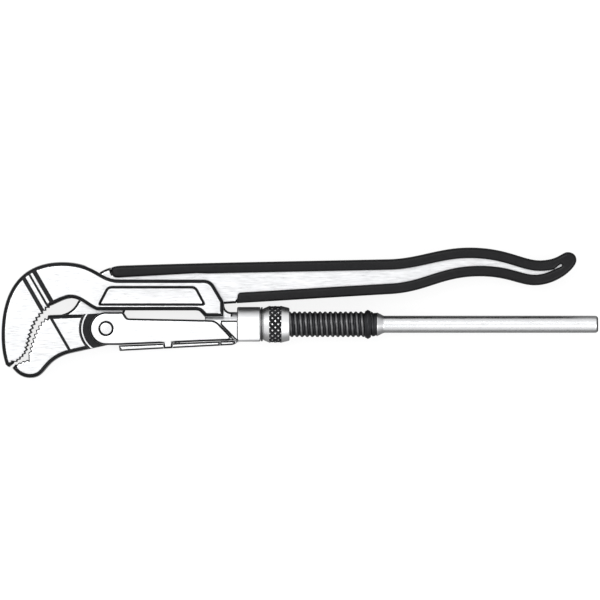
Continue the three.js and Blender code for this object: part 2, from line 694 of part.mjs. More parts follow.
const wrench = new THREE.Group();
for (const [name, [make, material]] of Object.entries(PIECES)) {
  const mesh = new THREE.Mesh(geometryOf(make()), MATERIALS[material]);
  mesh.name = name;
  wrench.add(mesh);
}
const bounds = new THREE.Box3().setFromObject(wrench);
const middle = bounds.getCenter(new THREE.Vector3());
wrench.position.set(-middle.x, -middle.y, -bounds.min.z);

export default wrench;
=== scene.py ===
"""The looks of a Swedish-pattern pipe wrench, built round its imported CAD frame.

Shapes are drawn in millimetres on the shank's own axes, as the tool is designed: X runs along the
threaded shank with X = 0 at the pivot pin, Y = 0 is the shank's axis and Z = 0 the middle plane.
publish() moves each finished piece to the frame's place and turns it into metres.
"""

import math

import bmesh
import bpy
import numpy as np
from mathutils import Matrix, Vector, geometry


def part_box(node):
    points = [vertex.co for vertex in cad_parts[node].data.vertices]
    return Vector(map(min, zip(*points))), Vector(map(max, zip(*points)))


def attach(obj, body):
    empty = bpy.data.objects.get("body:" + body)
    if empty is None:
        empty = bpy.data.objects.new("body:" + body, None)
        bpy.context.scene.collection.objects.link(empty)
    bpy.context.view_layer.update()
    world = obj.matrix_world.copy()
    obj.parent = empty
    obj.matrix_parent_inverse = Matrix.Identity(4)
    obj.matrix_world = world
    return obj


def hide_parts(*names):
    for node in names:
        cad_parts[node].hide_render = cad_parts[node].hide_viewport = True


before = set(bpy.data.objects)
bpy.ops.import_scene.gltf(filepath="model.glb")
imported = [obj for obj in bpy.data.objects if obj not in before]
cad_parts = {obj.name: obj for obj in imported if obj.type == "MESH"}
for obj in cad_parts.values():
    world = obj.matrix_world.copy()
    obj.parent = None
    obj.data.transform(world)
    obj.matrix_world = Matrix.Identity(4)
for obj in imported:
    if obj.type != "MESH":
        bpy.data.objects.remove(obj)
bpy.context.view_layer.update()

# ---- Driving dimensions, in millimetres ----
MM = 0.001
GAP = 0.3  # clearance between neighbouring pieces

# How finely surfaces are cut up, and how near two points may lie.
CURVE_STEPS = 20
CORNER_STEPS = 7
ROUND_SIDES = 96
THREAD_SIDES = 72
RIVET_SIDES = 48
FILL_SPACING = 1.1
FILL_REACH = 1.5
FILL_CLEARANCE = FILL_SPACING * 0.42
LONGEST_EDGE = 2.5
SAME_POINT = 1e-4
ON_LINE = 1e-3
WELD = 0.004
FAR = 1e9
MITER_LIMIT = 0.35  # keeps the step at a sharp corner short
SHARP_ANGLE = math.radians(36)
NUT_SHARP_ANGLE = math.radians(22)
TOOL_REACH = 20.0  # how far out a cutting tool goes, measured from the shank's axes
LONG_TOOL_REACH = 30.0
TOOL_RIM = 0.01

# Rounded edges, and the bulge of forged walls as (height, outer bulge, hole bulge) rows.
HEAD_RIM = 2.5
JAW_RIM = 2.6
FLANGE_RIM = 1.9
WEB_RIM = 1.7
FILLET_RIM = 1.4
PLATE_RIM = 1.35
STRAP_RIM = 1.15
COLLAR_RIM = 1.0
SPRING_RIM = 0.25
HOLE_RIM = 0.12
TOOTH_RIM = 0.8
CRISP_SLOPE = 0.5
FORGED_WALL = [(0.5, 0.24, 0.24), (0.0, 0.36, 0.36)]

# Jaws: (distance behind a leaning line, half thickness) steps, and the teeth.
JAW_HALF = 13.0
ARM_HALF = 12.0
STEP_LEAN = math.radians(30)
HOOK_STEP_POINT = (-51.0, 20.2)
HOOK_STEPS = [(-1.3, JAW_HALF), (1.6, 12.6), (4.1, 12.6), (5.7, 12.4), (7.3, 12.4), (10.5, ARM_HALF)]
LOWER_STEP_POINT = (-32.0, -8.0)
LOWER_STEPS = [(-0.6, JAW_HALF), (1.4, 12.5)]
TOOTH_PITCH = 3.2
TOOTH_DEPTH = 1.6
CHIN_PITCH = 3.0  # finer teeth at the tips of the jaws
HOOK_CHIN_DEPTH = 1.0
LOWER_CHIN_DEPTH = 0.8
TOOTH_TIP = 0.42  # share of the pitch at which a tooth's tip stands

# Hook arm, and the lever's web, flanges and pockets.
SLOT_HALF = 4.0
RELIEF_HALF = 8.3
RECESS_DEPTH = 2.2
RECESS_DRAFT = 1.9
RECESS_CORNER = 3.3
FILLET_HALF = 7.0
WEB_HALF = 3.5
FLANGE_HALF = 7.5
FLANGE_DEPTH = 7.8
POCKET_RADIUS = 17.9
POCKET_RIM_RADIUS = 19.3
# Out to this radius the pocket floor is painted dark as shade.
POCKET_SHADE_RADIUS = 16.5
BOSS_RADIUS = 11.2

# Pivot pin, cheeks and strap.
PIN_Y = -3.0
PIN_RADIUS = 4.7
PIN_HEAD_RADIUS = 5.3
PIN_FLAT_RADIUS = 3.9
CHEEK_IN = 9.4
CHEEK_OUT = 12.6
BOSS_HALF = CHEEK_IN - GAP
CHEEK_END_RADIUS = 11.6
TAB_FROM, TAB_TO = 40.4, 46.8
SEAM_X = 80.1

# Thread, neck and round handle.
PITCH = 3.6
THREAD_ROOT = 7.9
THREAD_CREST = 9.0
THREAD_FROM, THREAD_TO = 93.5, 190.2
THREAD_PHASE = 1.1
NECK_FROM = 69.5
NECK_RADIUS = 8.6
ROD_RADIUS = 6.0
ROD_END = 346.2
ROD_END_RADIUS = 2.0
STOP_FROM, STOP_TO, STOP_RADIUS = 182.0, 186.3, 10.3
STOP_BORE = 8.3
STOP_MOUTH = 3.0

# Collar, nut, washer and snap ring.
COLLAR_FROM, COLLAR_TO = 92.1, 108.6
COLLAR_RADIUS = 12.15
COLLAR_BORE = 9.4
COLLAR_CORNER = 9.0
NUT_SEAT_RADIUS = 11.0
SPIGOT_FROM, SPIGOT_RADIUS = 101.5, 10.7
SNAP_FROM, SNAP_TO, SNAP_IN, SNAP_OUT = 103.6, 104.8, 10.3, 11.4
SNAP_MOUTH = 3.6
WASHER_RADIUS = 12.0
NUT_FROM, NUT_TO = 110.4, 129.0
NUT_FACE_RADIUS = 11.2
KNURL_FROM, KNURL_TO = 114.6, 123.4
KNURL_RADIUS = 12.9
KNURL_DEPTH = 0.8
KNURL_DIAMONDS = 18
KNURL_ROWS = 4
KNURL_CELLS = 6  # mesh columns across half a diamond
KNURL_SHOULDER = 12.75

# Leaf spring and its rivet.
SPRING_HALF = 6.5
SPRING_THICK = 1.4
RIVET_X = 50.0
RIVET_RADIUS = 2.0
RIVET_SINK_RADIUS = 3.4
RIVET_HEAD_RADIUS = 3.2
RIVET_HEAD_RISE = 1.15

# ---- Where the shank's axes are in the frame ----
pin_low, pin_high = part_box("pivot_pin")
AXES_ORIGIN = (pin_low + pin_high) / 2 - Vector((0, PIN_Y * MM, 0))


# ---- Outlines ----
def bezier_point(curve, place):
    a, b, c, d = [np.array(point, float) for point in curve]
    rest = 1 - place
    return rest**3 * a + 3 * rest**2 * place * b + 3 * rest * place**2 * c + place**3 * d


def evenly(curve, places):
    """Points and unit directions at shares of a curve's length, and that length."""
    steps = 400
    fine = np.array([bezier_point(curve, i / steps) for i in range(steps + 1)])
    length = np.concatenate([[0], np.cumsum(np.linalg.norm(np.diff(fine, axis=0), axis=1))])
    share = length / length[-1]

    def at(places):
        return np.stack([np.interp(places, share, fine[:, k]) for k in (0, 1)], 1)

    nudge = 0.004
    along = at(np.minimum(places + nudge, 1)) - at(np.maximum(places - nudge, 0))
    return at(places), along / np.linalg.norm(along, axis=1)[:, None], length[-1]


def beside(curve, places, distance):
    """Points beside a curve, to the left of its direction."""
    points, along, _ = evenly(curve, np.asarray(places, float))
    return points + np.stack([-along[:, 1], along[:, 0]], 1) * distance


class Outline:
    """A closed outline that goes on from its last point. A crisp stretch keeps a sharp edge."""

    def __init__(self, x, y):
        self.points = [(x, y)]
        self.crisp = []

    def line(self, *points, crisp=False):
        for point in points:
            self.points.append(tuple(point))
            self.crisp.append(crisp)
        return self

    def curve(self, leaving, arriving, end, steps=CURVE_STEPS):
        curve = (self.points[-1], leaving, arriving, end)
        return self.line(*[bezier_point(curve, i / steps) for i in range(1, steps + 1)])

    def corner(self, control, end, steps=CORNER_STEPS):
        start, bend, stop = [np.array(p, float) for p in (self.points[-1], control, end)]
        return self.curve(start + (bend - start) * 2 / 3, stop + (bend - stop) * 2 / 3, end, steps)

    def arc(self, centre, radius, start, end, steps=36, crisp=False):
        angles = [math.radians(start + (end - start) * i / steps) for i in range(steps + 1)]
        points = [(centre[0] + radius * math.cos(a), centre[1] + radius * math.sin(a)) for a in angles]
        return self.line(*points, crisp=crisp)

    def teeth(self, curve, pitch, depth, side):
        """Saw teeth along a curve; side is 1 for tips on its left and -1 for tips on its right."""
        count = round(evenly(curve, np.zeros(1))[2] / pitch)
        places = np.arange(count) / count
        roots = beside(curve, places, -side * depth / 2)
        tips = beside(curve, places + TOOTH_TIP / count, side * depth / 2)
        for root, tip in zip(roots, tips):
            self.line(root, tip, crisp=True)
        return self

    def closed(self, counter_clockwise=True):
        """The corners, and for each corner whether the edge that leaves it is crisp."""
        points = np.array(self.points, float)
        crisp = list(self.crisp)
        if np.linalg.norm(points[0] - points[-1]) < 1e-6:
            points = points[:-1]
        else:
            crisp.append(False)
        crisp = np.array(crisp)
        keep = np.linalg.norm(points - np.roll(points, -1, 0), axis=1) > SAME_POINT
        points, crisp = subdivided(points[keep], crisp[keep])
        after = np.roll(points, -1, 0)
        area = (points[:, 0] * after[:, 1] - points[:, 1] * after[:, 0]).sum()
        if (area > 0) != counter_clockwise:
            points = points[::-1]
            crisp = np.roll(crisp[::-1], -1)
        return points, crisp


def subdivided(points, crisp):
    """A closed loop whose long edges are split, so that a sharp corner troubles only its own end."""
    finer, flags = [], []
    for point, after, flag in zip(points, np.roll(points, -1, 0), crisp):
        pieces = max(1, math.ceil(np.linalg.norm(after - point) / LONGEST_EDGE))
        for i in range(pieces):
            finer.append(point + (after - point) * i / pieces)
            flags.append(flag)
    return np.array(finer), np.array(flags)


def rounded_polygon(corners, radius):
    corners = [np.array(corner, float) for corner in corners]
    outline = None
    for i, corner in enumerate(corners):
        before, after = corners[i - 1] - corner, corners[(i + 1) % len(corners)] - corner
        start = corner + before / np.linalg.norm(before) * radius
        end = corner + after / np.linalg.norm(after) * radius
        if outline is None:
            outline = Outline(*start)
        else:
            outline.line(start)
        outline.corner(corner, end)
    return outline


def circle(centre, radius, steps=ROUND_SIDES, crisp=False):
    outline = Outline(centre[0] + radius, centre[1])
    return outline.arc(centre, radius, 0, 360, steps, crisp)


# ---- Plane geometry on arrays of points ----
def segments(*loops):
    """The start points and the end points of the edges of some closed loops."""
    return np.concatenate(loops), np.concatenate([np.roll(loop, -1, 0) for loop in loops])


def distance_to(points, starts, ends):
    """Each point's distance to the nearest of some segments, worked out for a few points at a time."""
    best = np.full(len(points), FAR)
    if not len(starts):
        return best
    along = ends - starts
    length2 = np.maximum((along**2).sum(1), 1e-12)
    batch = 500
    for first in range(0, len(points), batch):
        offset = points[first : first + batch, None, :] - starts[None]
        place = np.clip((offset * along[None]).sum(2) / length2[None], 0, 1)
        away = offset - along[None] * place[..., None]
        best[first : first + batch] = np.sqrt((away**2).sum(2)).min(1)
    return best


def inside(points, loop):
    """Whether each point lies inside a closed loop of corners."""
    x, y = points[:, 0][:, None], points[:, 1][:, None]
    a, b = loop, np.roll(loop, -1, 0)
    crosses = (a[:, 1] > y) != (b[:, 1] > y)
    rise = np.where(np.abs(b[:, 1] - a[:, 1]) < 1e-12, 1e-12, b[:, 1] - a[:, 1])
    right = x < (b[:, 0] - a[:, 0]) * (y - a[:, 1]) / rise + a[:, 0]
    return (crosses & right).sum(1) % 2 == 1


def miters(points):
    """For each corner of a closed loop, the step that takes it one unit to the left of its edges."""
    edge = np.roll(points, -1, 0) - points
    edge /= np.linalg.norm(edge, axis=1)[:, None]
    left = np.stack([-edge[:, 1], edge[:, 0]], 1)
    before = np.roll(left, 1, 0)
    return (left + before) / np.maximum(1 + (left * before).sum(1), MITER_LIMIT)[:, None]


def inset_runs(loop, wanted, amount):
    """Open runs of a loop moved inwards, where the moved points are a true distance from the loop.
    wanted says which of the loop's edges count."""
    points = loop[0]
    inner = points + miters(points) * amount
    starts, ends = segments(points)
    far_enough = distance_to(inner, starts[wanted], ends[wanted]) > amount * 0.97
    good = wanted & np.roll(wanted, 1) & far_enough
    runs, run = [], []
    order = list(range(len(points)))
    if not good.all():
        first_bad = int(np.argmin(good))
        order = order[first_bad:] + order[:first_bad]
    for i in order:
        if good[i]:
            run.append(inner[i])
        elif run:
            runs.append(run)
            run = []
    if run:
        if good.all():
            run.append(run[0])
        runs.append(run)
    return [r for r in runs if len(r) > 1]


def filling(loops, flat, edges, reach):
    """Points in a grid near the walls, away from the lines that are there already. They keep the
    triangles small where a wall's inner lines stop short of a corner."""
    flat = np.array(flat)
    first, second = np.array(edges).T
    low, high = loops[0][0].min(0), loops[0][0].max(0)
    xs, ys = [np.arange(low[k], high[k], FILL_SPACING) for k in (0, 1)]
    grid = np.stack(np.meshgrid(xs, ys), -1).reshape(-1, 2)
    grid = grid[inside(grid, loops[0][0])]
    grid = grid[distance_to(grid, *segments(*[points for points, _ in loops])) < reach]
    if not len(grid):
        return []
    return list(grid[distance_to(grid, flat[first], flat[second]) > FILL_CLEARANCE])


# ---- Meshes ----
def placed(name, data):
    """A new object in the scene."""
    made = bpy.data.objects.new(name, data)
    bpy.context.scene.collection.objects.link(made)
    return made


def mesh_object(name, vertices, faces):
    mesh = bpy.data.meshes.new(name)
    mesh.from_pydata([tuple(v) for v in vertices], [], [tuple(f) for f in faces])
    mesh.validate()
    return placed(name, mesh)


def rim_drop(distance, radius):
    """How far a rounded edge lies below the flat, at a distance from the wall."""
    left = np.clip(radius - distance, 0, radius)
    return radius - np.sqrt(np.maximum(radius**2 - left**2, 0))


def flat_mesh(loops, rim, features, crisp_rim, rim_steps):
    """Points and triangles that fill the loops, with lines where the surface bends: along the
    features, and at growing distances from the walls over the width of their rims."""
    flat, edges = [], []

    def add(path, close=False):
        first = len(flat)
        flat.extend(path)
        edges.extend((first + i, first + i + 1) for i in range(len(path) - 1))
        if close:
            edges.append((first + len(path) - 1, first))

    for points, _ in loops:
        add(list(points), close=True)
    for step in range(1, rim_steps + 1):
        amount = rim * (1 - math.cos(math.pi / 2 * step / rim_steps))
        for loop in loops:
            for run in inset_runs(loop, ~loop[1], amount):
                add(run)
    for loop in loops:
        if loop[1].any():
            for run in inset_runs(loop, loop[1], crisp_rim):
                add(run)
    for path in features:
        add([np.array(p, float) for p in path])
    if rim > GAP:
        flat.extend(filling(loops, flat, edges, rim + FILL_REACH))
    found = geometry.delaunay_2d_cdt([Vector(p) for p in flat], edges, [], 0, SAME_POINT)
    points = np.array([tuple(v) for v in found[0]], float)
    triangles = np.array(found[2], int)
    middle = points[triangles].mean(1)
    keep = inside(middle, loops[0][0])
    for hole, _ in loops[1:]:
        keep &= ~inside(middle, hole)
    triangles = triangles[keep]
    used = np.unique(triangles)
    renumber = np.full(len(points), -1)
    renumber[used] = np.arange(len(used))
    points, triangles = points[used], renumber[triangles]
    corner = points[triangles]
    turn = np.cross(corner[:, 1] - corner[:, 0], corner[:, 2] - corner[:, 0])
    triangles[turn < 0] = triangles[turn < 0][:, ::-1]
    return points, triangles


def relief(name, outline, half, rim, holes=(), features=(), wall=(), crisp_rim=TOOTH_RIM, rim_steps=4):
    """A flat piece that is alike on both sides of its middle plane.

    half gives its half thickness: a number, or a function of an array of points. rim is the radius
    of its rounded edges. features are extra lines that the surface bends along. wall holds
    (height, outer bulge, hole bulge) rows that shape the side wall between the rims."""
    bulge = max([row[1] for row in wall], default=0)
    loops = []
    for i, source in enumerate([outline, *holes]):
        points, crisp = source.closed(i == 0)
        if i == 0 and bulge:
            smooth = ~(crisp | np.roll(crisp, 1))
            points = points + miters(points) * (bulge * smooth)[:, None]
        loops.append((points, crisp))
    points, triangles = flat_mesh(loops, rim, features, crisp_rim, rim_steps)
    starts, ends = segments(*[loop for loop, _ in loops])
    crisp = np.concatenate([flags for _, flags in loops])
    height = half(points) if callable(half) else np.full(len(points), float(half))
    to_smooth = distance_to(points, starts[~crisp], ends[~crisp])
    to_crisp = distance_to(points, starts[crisp], ends[crisp])
    crisp_drop = CRISP_SLOPE * np.clip(crisp_rim - to_crisp, 0, crisp_rim)
    height = height - np.maximum(rim_drop(to_smooth, rim), crisp_drop)

    count = len(points)
    vertices = [*np.column_stack([points, height]), *np.column_stack([points, -height])]
    faces = [tuple(t) for t in triangles] + [tuple(t[::-1] + count) for t in triangles]
    in_hole = np.zeros(count, bool)
    for hole, _ in loops[1:]:
        in_hole |= distance_to(points, *segments(hole)) < ON_LINE
    push = np.where(in_hole, 2, 1) * (to_crisp >= ON_LINE)
    add_walls(vertices, faces, points, triangles, wall, push)
    return mesh_object(name, vertices, faces)


def add_walls(vertices, faces, points, triangles, wall, push):
    """Joins the two sides of a relief all round, through the rows of its wall. push says for each
    point which entry of a row moves it outwards: 1 or 2, or 0 for none."""
    count = len(points)
    directed = {(int(a), int(b)) for t in triangles for a, b in zip(t, np.roll(t, -1))}
    border = [(a, b) for a, b in directed if (b, a) not in directed]
    outward = {}
    for a, b in border:
        along = points[b] - points[a]
        normal = np.array([along[1], -along[0]]) / np.linalg.norm(along)
        for v in (a, b):
            outward.setdefault(v, []).append(normal)
    rows = [{v: v for v in outward}]
    for level in [*wall, *[(-z, a, b) for z, a, b in reversed(wall) if z > 0]]:
        row = {}
        for v, normals in outward.items():
            step = np.sum(normals, 0) / max(1 + float(normals[0] @ normals[-1]), MITER_LIMIT)
            amount = level[push[v]] if push[v] else 0.0
            row[v] = len(vertices)
            vertices.append(np.array([*(points[v] + step * amount), level[0]]))
        rows.append(row)
    rows.append({v: v + count for v in outward})
    for upper, lower in zip(rows, rows[1:]):
        faces.extend((upper[b], upper[a], lower[a], lower[b]) for a, b in border)


def revolve(name, profile, sides=ROUND_SIDES):
    """A piece turned about the X axis. The profile is a list of (x, radius) that runs from the axis
    to the axis, or closes on itself round a bore."""
    open_ends = profile[0][1] == 0
    angles = 2 * math.pi * np.arange(sides) / sides
    vertices, rows = [], []
    for x, radius in profile:
        if radius == 0:
            rows.append([len(vertices)] * sides)
            vertices.append((x, 0, 0))
        else:
            rows.append(list(range(len(vertices), len(vertices) + sides)))
            vertices.extend((x, radius * math.cos(a), radius * math.sin(a)) for a in angles)
    pairs = list(zip(rows, rows[1:]))
    if not open_ends:
        pairs.append((rows[-1], rows[0]))
    faces = []
    for low, high in pairs:
        for k in range(sides):
            n = (k + 1) % sides
            quad = [low[k], high[k], high[n], low[n]]
            faces.append([v for j, v in enumerate(quad) if v != quad[j - 1]])
    return outwards(mesh_object(name, vertices, faces))


def ring_profile(low, high, outer, bore=0):
    """The profile of a plain ring, or of a plain bar where there is no bore."""
    return [(low, bore), (low, outer), (high, outer), (high, bore)]


def outwards(made):
    """Turns a closed mesh's faces outwards."""
    mesh = made.data
    corners = np.array([v.co for v in mesh.vertices])
    volume = 0.0
    for face in mesh.polygons:
        ring = corners[list(face.vertices)]
        for i in range(1, len(ring) - 1):
            volume += np.dot(ring[0], np.cross(ring[i], ring[i + 1]))
    if volume < 0:
        mesh.flip_normals()
    return made


def sealed(made):
    """Merges vertices that coincide, closes the open ends and turns the faces outwards."""
    work = bmesh.new()
    work.from_mesh(made.data)
    bmesh.ops.remove_doubles(work, verts=work.verts, dist=SAME_POINT)
    bmesh.ops.holes_fill(work, edges=[e for e in work.edges if e.is_boundary], sides=0)
    bmesh.ops.recalc_face_normals(work, faces=work.faces)
    work.to_mesh(made.data)
    work.free()
    return made


def painted(made, name, values):
    """Gives each vertex a number that a material reads by name."""
    made.data.attributes.new(name, "FLOAT", "POINT").data.foreach_set("value", values)
    return made


def moved(made, matrix):
    made.data.transform(matrix)
    return made


def raised(made, height):
    return moved(made, Matrix.Translation((0, 0, height)))


def box(x0, x1, y0, y1, z0, z1):
    outline = Outline(x0, y0).line((x1, y0), (x1, y1), (x0, y1))
    return raised(relief("tool", outline, (z1 - z0) / 2, TOOL_RIM, rim_steps=1), (z0 + z1) / 2)


def boolean(made, operation, *tools):
    for tool in tools:
        modifier = made.modifiers.new(operation, "BOOLEAN")
        modifier.operation = operation
        modifier.solver = "EXACT"
        modifier.object = tool
        graph = bpy.context.evaluated_depsgraph_get()
        mesh = bpy.data.meshes.new_from_object(made.evaluated_get(graph))
        made.modifiers.clear()
        made.data = mesh
        bpy.data.objects.remove(tool)
    return made


def cut(made, *tools):
    return boolean(made, "DIFFERENCE", *tools)


def join(made, *others):
    return boolean(made, "UNION", *others)


def without_slivers(made):
    """Welds a cut piece's nearly equal points, and drops the pairs of faces this folds together."""
    work = bmesh.new()
    work.from_mesh(made.data)
    bmesh.ops.remove_doubles(work, verts=work.verts, dist=WELD)
    bmesh.ops.dissolve_degenerate(work, edges=work.edges, dist=WELD / 4)
    bmesh.ops.triangulate(work, faces=work.faces)
    seen, folded = {}, []
    for face in work.faces:
        corners = frozenset(face.verts)
        if corners in seen:
            folded += [face, seen.pop(corners)]
        else:
            seen[corners] = face
    bmesh.ops.delete(work, geom=folded, context="FACES")
    work.to_mesh(made.data)
    work.free()


def publish(made, body, slot, material, *stands_for, angle=SHARP_ANGLE):
    """Moves a finished piece to its place in the frame, and gives it its body, finish and shading."""
    without_slivers(made)
    made.data.transform(Matrix.Translation(AXES_ORIGIN) @ Matrix.Scale(MM, 4))
    made.data.materials.clear()
    made.data.materials.append(material)
    made.data.shade_smooth()
    made.data.set_sharp_from_angle(angle=angle)
    even = made.modifiers.new("Even shading", "WEIGHTED_NORMAL")
    even.keep_sharp = True
    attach(made, body)
    if stands_for:
        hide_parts(*stands_for)
    return made


# ---- Materials ----
# How squarely a face looks along an axis, from where a rule begins to hold to where it holds fully.
FLAT_SIDE = (0.994, 0.998)
SIDE_WALL = (0.34, 0.22)
END_FACE = (0.93, 0.97)
ROUND_SURFACE = (0.3, 0.2)
ROUND_OR_CONE = (0.55, 0.42)

# Shades as (darker, lighter) colours, and roughness as (least, most).
GROUND_SHADES = ((0.68, 0.685, 0.695), (0.8, 0.805, 0.81))
DULL_SHADES = ((0.55, 0.555, 0.565), (0.66, 0.665, 0.67))
BLASTED_SHADES = ((0.3, 0.303, 0.31), (0.62, 0.623, 0.63))
SKIN_SHADES = ((0.004, 0.0042, 0.0048), (0.05, 0.0505, 0.053))
PLATE_SHADES = ((0.74, 0.745, 0.755), (0.84, 0.845, 0.85))
PIN_SHADES = ((0.8, 0.805, 0.81), (0.9, 0.9, 0.905))
PIN_ROUGH = (0.16, 0.26)
SKIN_METAL = 0.7  # Metallic of black skin and bluing


class Nodes:
    """Short ways to add nodes to a material's or a world's node tree."""

    def __init__(self, tree):
        self.nodes = tree.nodes
        self.links = tree.links

    def feed(self, node, inputs):
        """Gives a node's inputs, by name or number, a value each or a link from another node."""
        for name, value in inputs.items():
            socket = node.inputs[name if isinstance(name, int) else name.replace("_", " ")]
            if hasattr(value, "is_output"):
                self.links.new(value, socket)
            else:
                socket.default_value = value
        return node

    def add(self, kind, **inputs):
        return self.feed(self.nodes.new(kind), inputs)

    def math(self, operation, a, b=0.0):
        node = self.feed(self.nodes.new("ShaderNodeMath"), {0: a, 1: b})
        node.operation = operation
        return node.outputs["Value"]

    def times(self, a, b):
        return self.math("MULTIPLY", a, b)

    def larger(self, a, b):
        return self.math("MAXIMUM", a, b)

    def between(self, value, low, high, to_low=0.0, to_high=1.0, smooth=False):
        limits = {"From Min": low, "From Max": high, "To Min": to_low, "To Max": to_high}
        node = self.feed(self.add("ShaderNodeMapRange", Value=value), limits)
        node.interpolation_type = "SMOOTHSTEP" if smooth else "LINEAR"
        return node.outputs["Result"]

    def blend(self, factor, a, b):
        """Between two colours or colour sockets."""
        node = self.nodes.new("ShaderNodeMix")
        node.data_type = "RGBA"
        a, b = [value if hasattr(value, "is_output") else (*value, 1.0) for value in (a, b)]
        return self.feed(node, {0: factor, 6: a, 7: b}).outputs[2]

    def mix(self, factor, a, b):
        """Between two numbers or number sockets."""
        return self.feed(self.nodes.new("ShaderNodeMix"), {0: factor, 2: a, 3: b}).outputs[0]


class Finish(Nodes):
    """A Principled material, with the patterns and the rules of place that the finishes use."""

    def __init__(self, name):
        self.material = bpy.data.materials.new(name)
        self.material.use_nodes = True
        super().__init__(self.material.node_tree)
        self.shader = self.nodes["Principled BSDF"]
        self.place = self.nodes.new("ShaderNodeTexCoord").outputs["Object"]

    def noise(self, scale, stretch=(1, 1, 1), detail=4.0, roughness=0.55):
        mapping = self.add("ShaderNodeMapping", Vector=self.place, Scale=stretch)
        place = mapping.outputs["Vector"]
        settings = {"Scale": scale, "Detail": detail, "Roughness": roughness}
        return self.feed(self.add("ShaderNodeTexNoise", Vector=place), settings).outputs["Fac"]

    def facing(self, axis):
        """How squarely a face looks along an axis, 0 to 1."""
        normal = self.add("ShaderNodeNewGeometry").outputs["True Normal"]
        return self.math("ABSOLUTE", self.add("ShaderNodeSeparateXYZ", Vector=normal).outputs[axis])

    def flat_side(self):
        """1 on the flat sides, 0 on the steps, rims and walls."""
        return self.between(self.facing("Z"), *FLAT_SIDE)

    def side_wall(self):
        """1 on the walls round the flat sides, 0 on the rims between them and on the flat sides."""
        return self.between(self.facing("Z"), *SIDE_WALL)

    def from_axes(self):
        """The position from the shank's axes, as three numbers in metres."""
        node = self.feed(self.nodes.new("ShaderNodeVectorMath"), {0: self.place, 1: AXES_ORIGIN})
        node.operation = "SUBTRACT"
        return self.add("ShaderNodeSeparateXYZ", Vector=node.outputs["Vector"]).outputs

    def away(self, a, b):
        """The distance that two offsets at right angles add up to."""
        squares = [self.times(value, value) for value in (a, b)]
        return self.math("SQRT", self.math("ADD", *squares))

    def turned_neck(self):
        """1 on the turned neck between the hook's arm and its thread."""
        x, y, z = self.from_axes()
        thin = self.math("LESS_THAN", self.away(y, z), (NECK_RADIUS + 0.05) * MM)
        return self.times(thin, self.math("GREATER_THAN", x, NECK_FROM * MM))

    def bright_turning(self, limits):
        """1 on the end faces of a turned piece and on the surface round it, as far as limits say."""
        along = self.facing("X")
        return self.larger(self.between(along, *limits), self.between(along, *END_FACE))

    def not_end_rim(self):
        """0 on the rims at the ends of a piece turned about the shank, else 1."""
        return self.bright_turning(ROUND_SURFACE)

    def not_steep_rim(self):
        """0 on the steep part of an end rim only, which leaves a long cone bright, else 1."""
        return self.bright_turning(ROUND_OR_CONE)

    def not_flat_rim(self):
        """0 on the rims between a piece's flat sides and its walls, else 1."""
        return self.larger(self.flat_side(), self.side_wall())

    def painted(self, name):
        """The number that a mesh's vertices carry under this name, or 0."""
        node = self.nodes.new("ShaderNodeAttribute")
        node.attribute_name = name
        return node.outputs["Fac"]

    def pocket_shade(self):
        """1 on the floor of the round pockets that the cheeks turn in, which the forged finish paints
        dark as shade.
        """
        x, y, z = self.from_axes()
        level = self.math("ABSOLUTE", z)
        away = self.away(x, self.math("SUBTRACT", y, PIN_Y * MM))
        near = self.math("LESS_THAN", away, POCKET_SHADE_RADIUS * MM)
        deep = self.math("LESS_THAN", level, (BOSS_HALF + 0.2) * MM)
        high = self.math("GREATER_THAN", level, (BOSS_HALF - 0.2) * MM)
        return self.times(near, self.times(deep, high))

    def edges(self, low, high):
        """1 along outer edges that wear."""
        point = self.add("ShaderNodeNewGeometry").outputs["Pointiness"]
        return self.between(point, low, high, smooth=True)

    def set(self, **inputs):
        self.feed(self.shader, inputs)

    def bump(self, height, distance, strength):
        node = self.add("ShaderNodeBump", Height=height, Strength=strength, Distance=distance)
        self.set(Normal=node.outputs["Normal"])


def black_skin(finish):
    """The scale that forging and rolling leave: colour, roughness and a fine relief."""
    grain = finish.noise(1100, detail=5, roughness=0.6)
    clouds = finish.noise(70, detail=4)
    pits = finish.between(finish.noise(520, detail=3), 0.6, 0.72, smooth=True)
    colour = finish.blend(finish.times(grain, clouds), *SKIN_SHADES)
    relief_height = finish.math("SUBTRACT", grain, finish.times(pits, 0.5))
    return colour, finish.between(grain, 0.3, 0.7, 0.4, 0.58), relief_height


def forged_steel():
    """Flat sides ground bright along the tool and walls blasted grey, with black forging skin left
    on the rims and steps between them. On the steps the black also stands as painted shade, and
    the floors of the pin pockets are painted dark as shade."""
    finish = Finish("forged_steel")
    # The pocket floors are kept out of the ground flats, so the black skin colour is painted there as
    # shade.
    flat = finish.times(finish.flat_side(), finish.math("SUBTRACT", 1.0, finish.pocket_shade()))
    flat = finish.larger(flat, finish.turned_neck())
    wall = finish.side_wall()
    clouds = finish.noise(60, detail=6)
    lines = finish.noise(150, stretch=(1, 16, 16), detail=4)
    bright = finish.blend(clouds, *GROUND_SHADES)
    dull = finish.blend(clouds, *DULL_SHADES)
    ground = finish.blend(finish.between(lines, 0.35, 0.65), dull, bright)
    skin, skin_rough, skin_height = black_skin(finish)
    blasted = finish.blend(finish.noise(900, detail=4), *BLASTED_SHADES)
    finish.set(
        Base_Color=finish.blend(flat, finish.blend(wall, skin, blasted), ground),
        Metallic=finish.mix(finish.larger(flat, wall), SKIN_METAL, 1.0),
        Specular_IOR_Level=0.2,
        Roughness=finish.mix(flat, skin_rough, finish.between(lines, 0.3, 0.7, 0.26, 0.4)),
    )
    finish.bump(finish.mix(flat, skin_height, finish.times(lines, 0.3)), 0.00009, 0.6)
    return finish.material


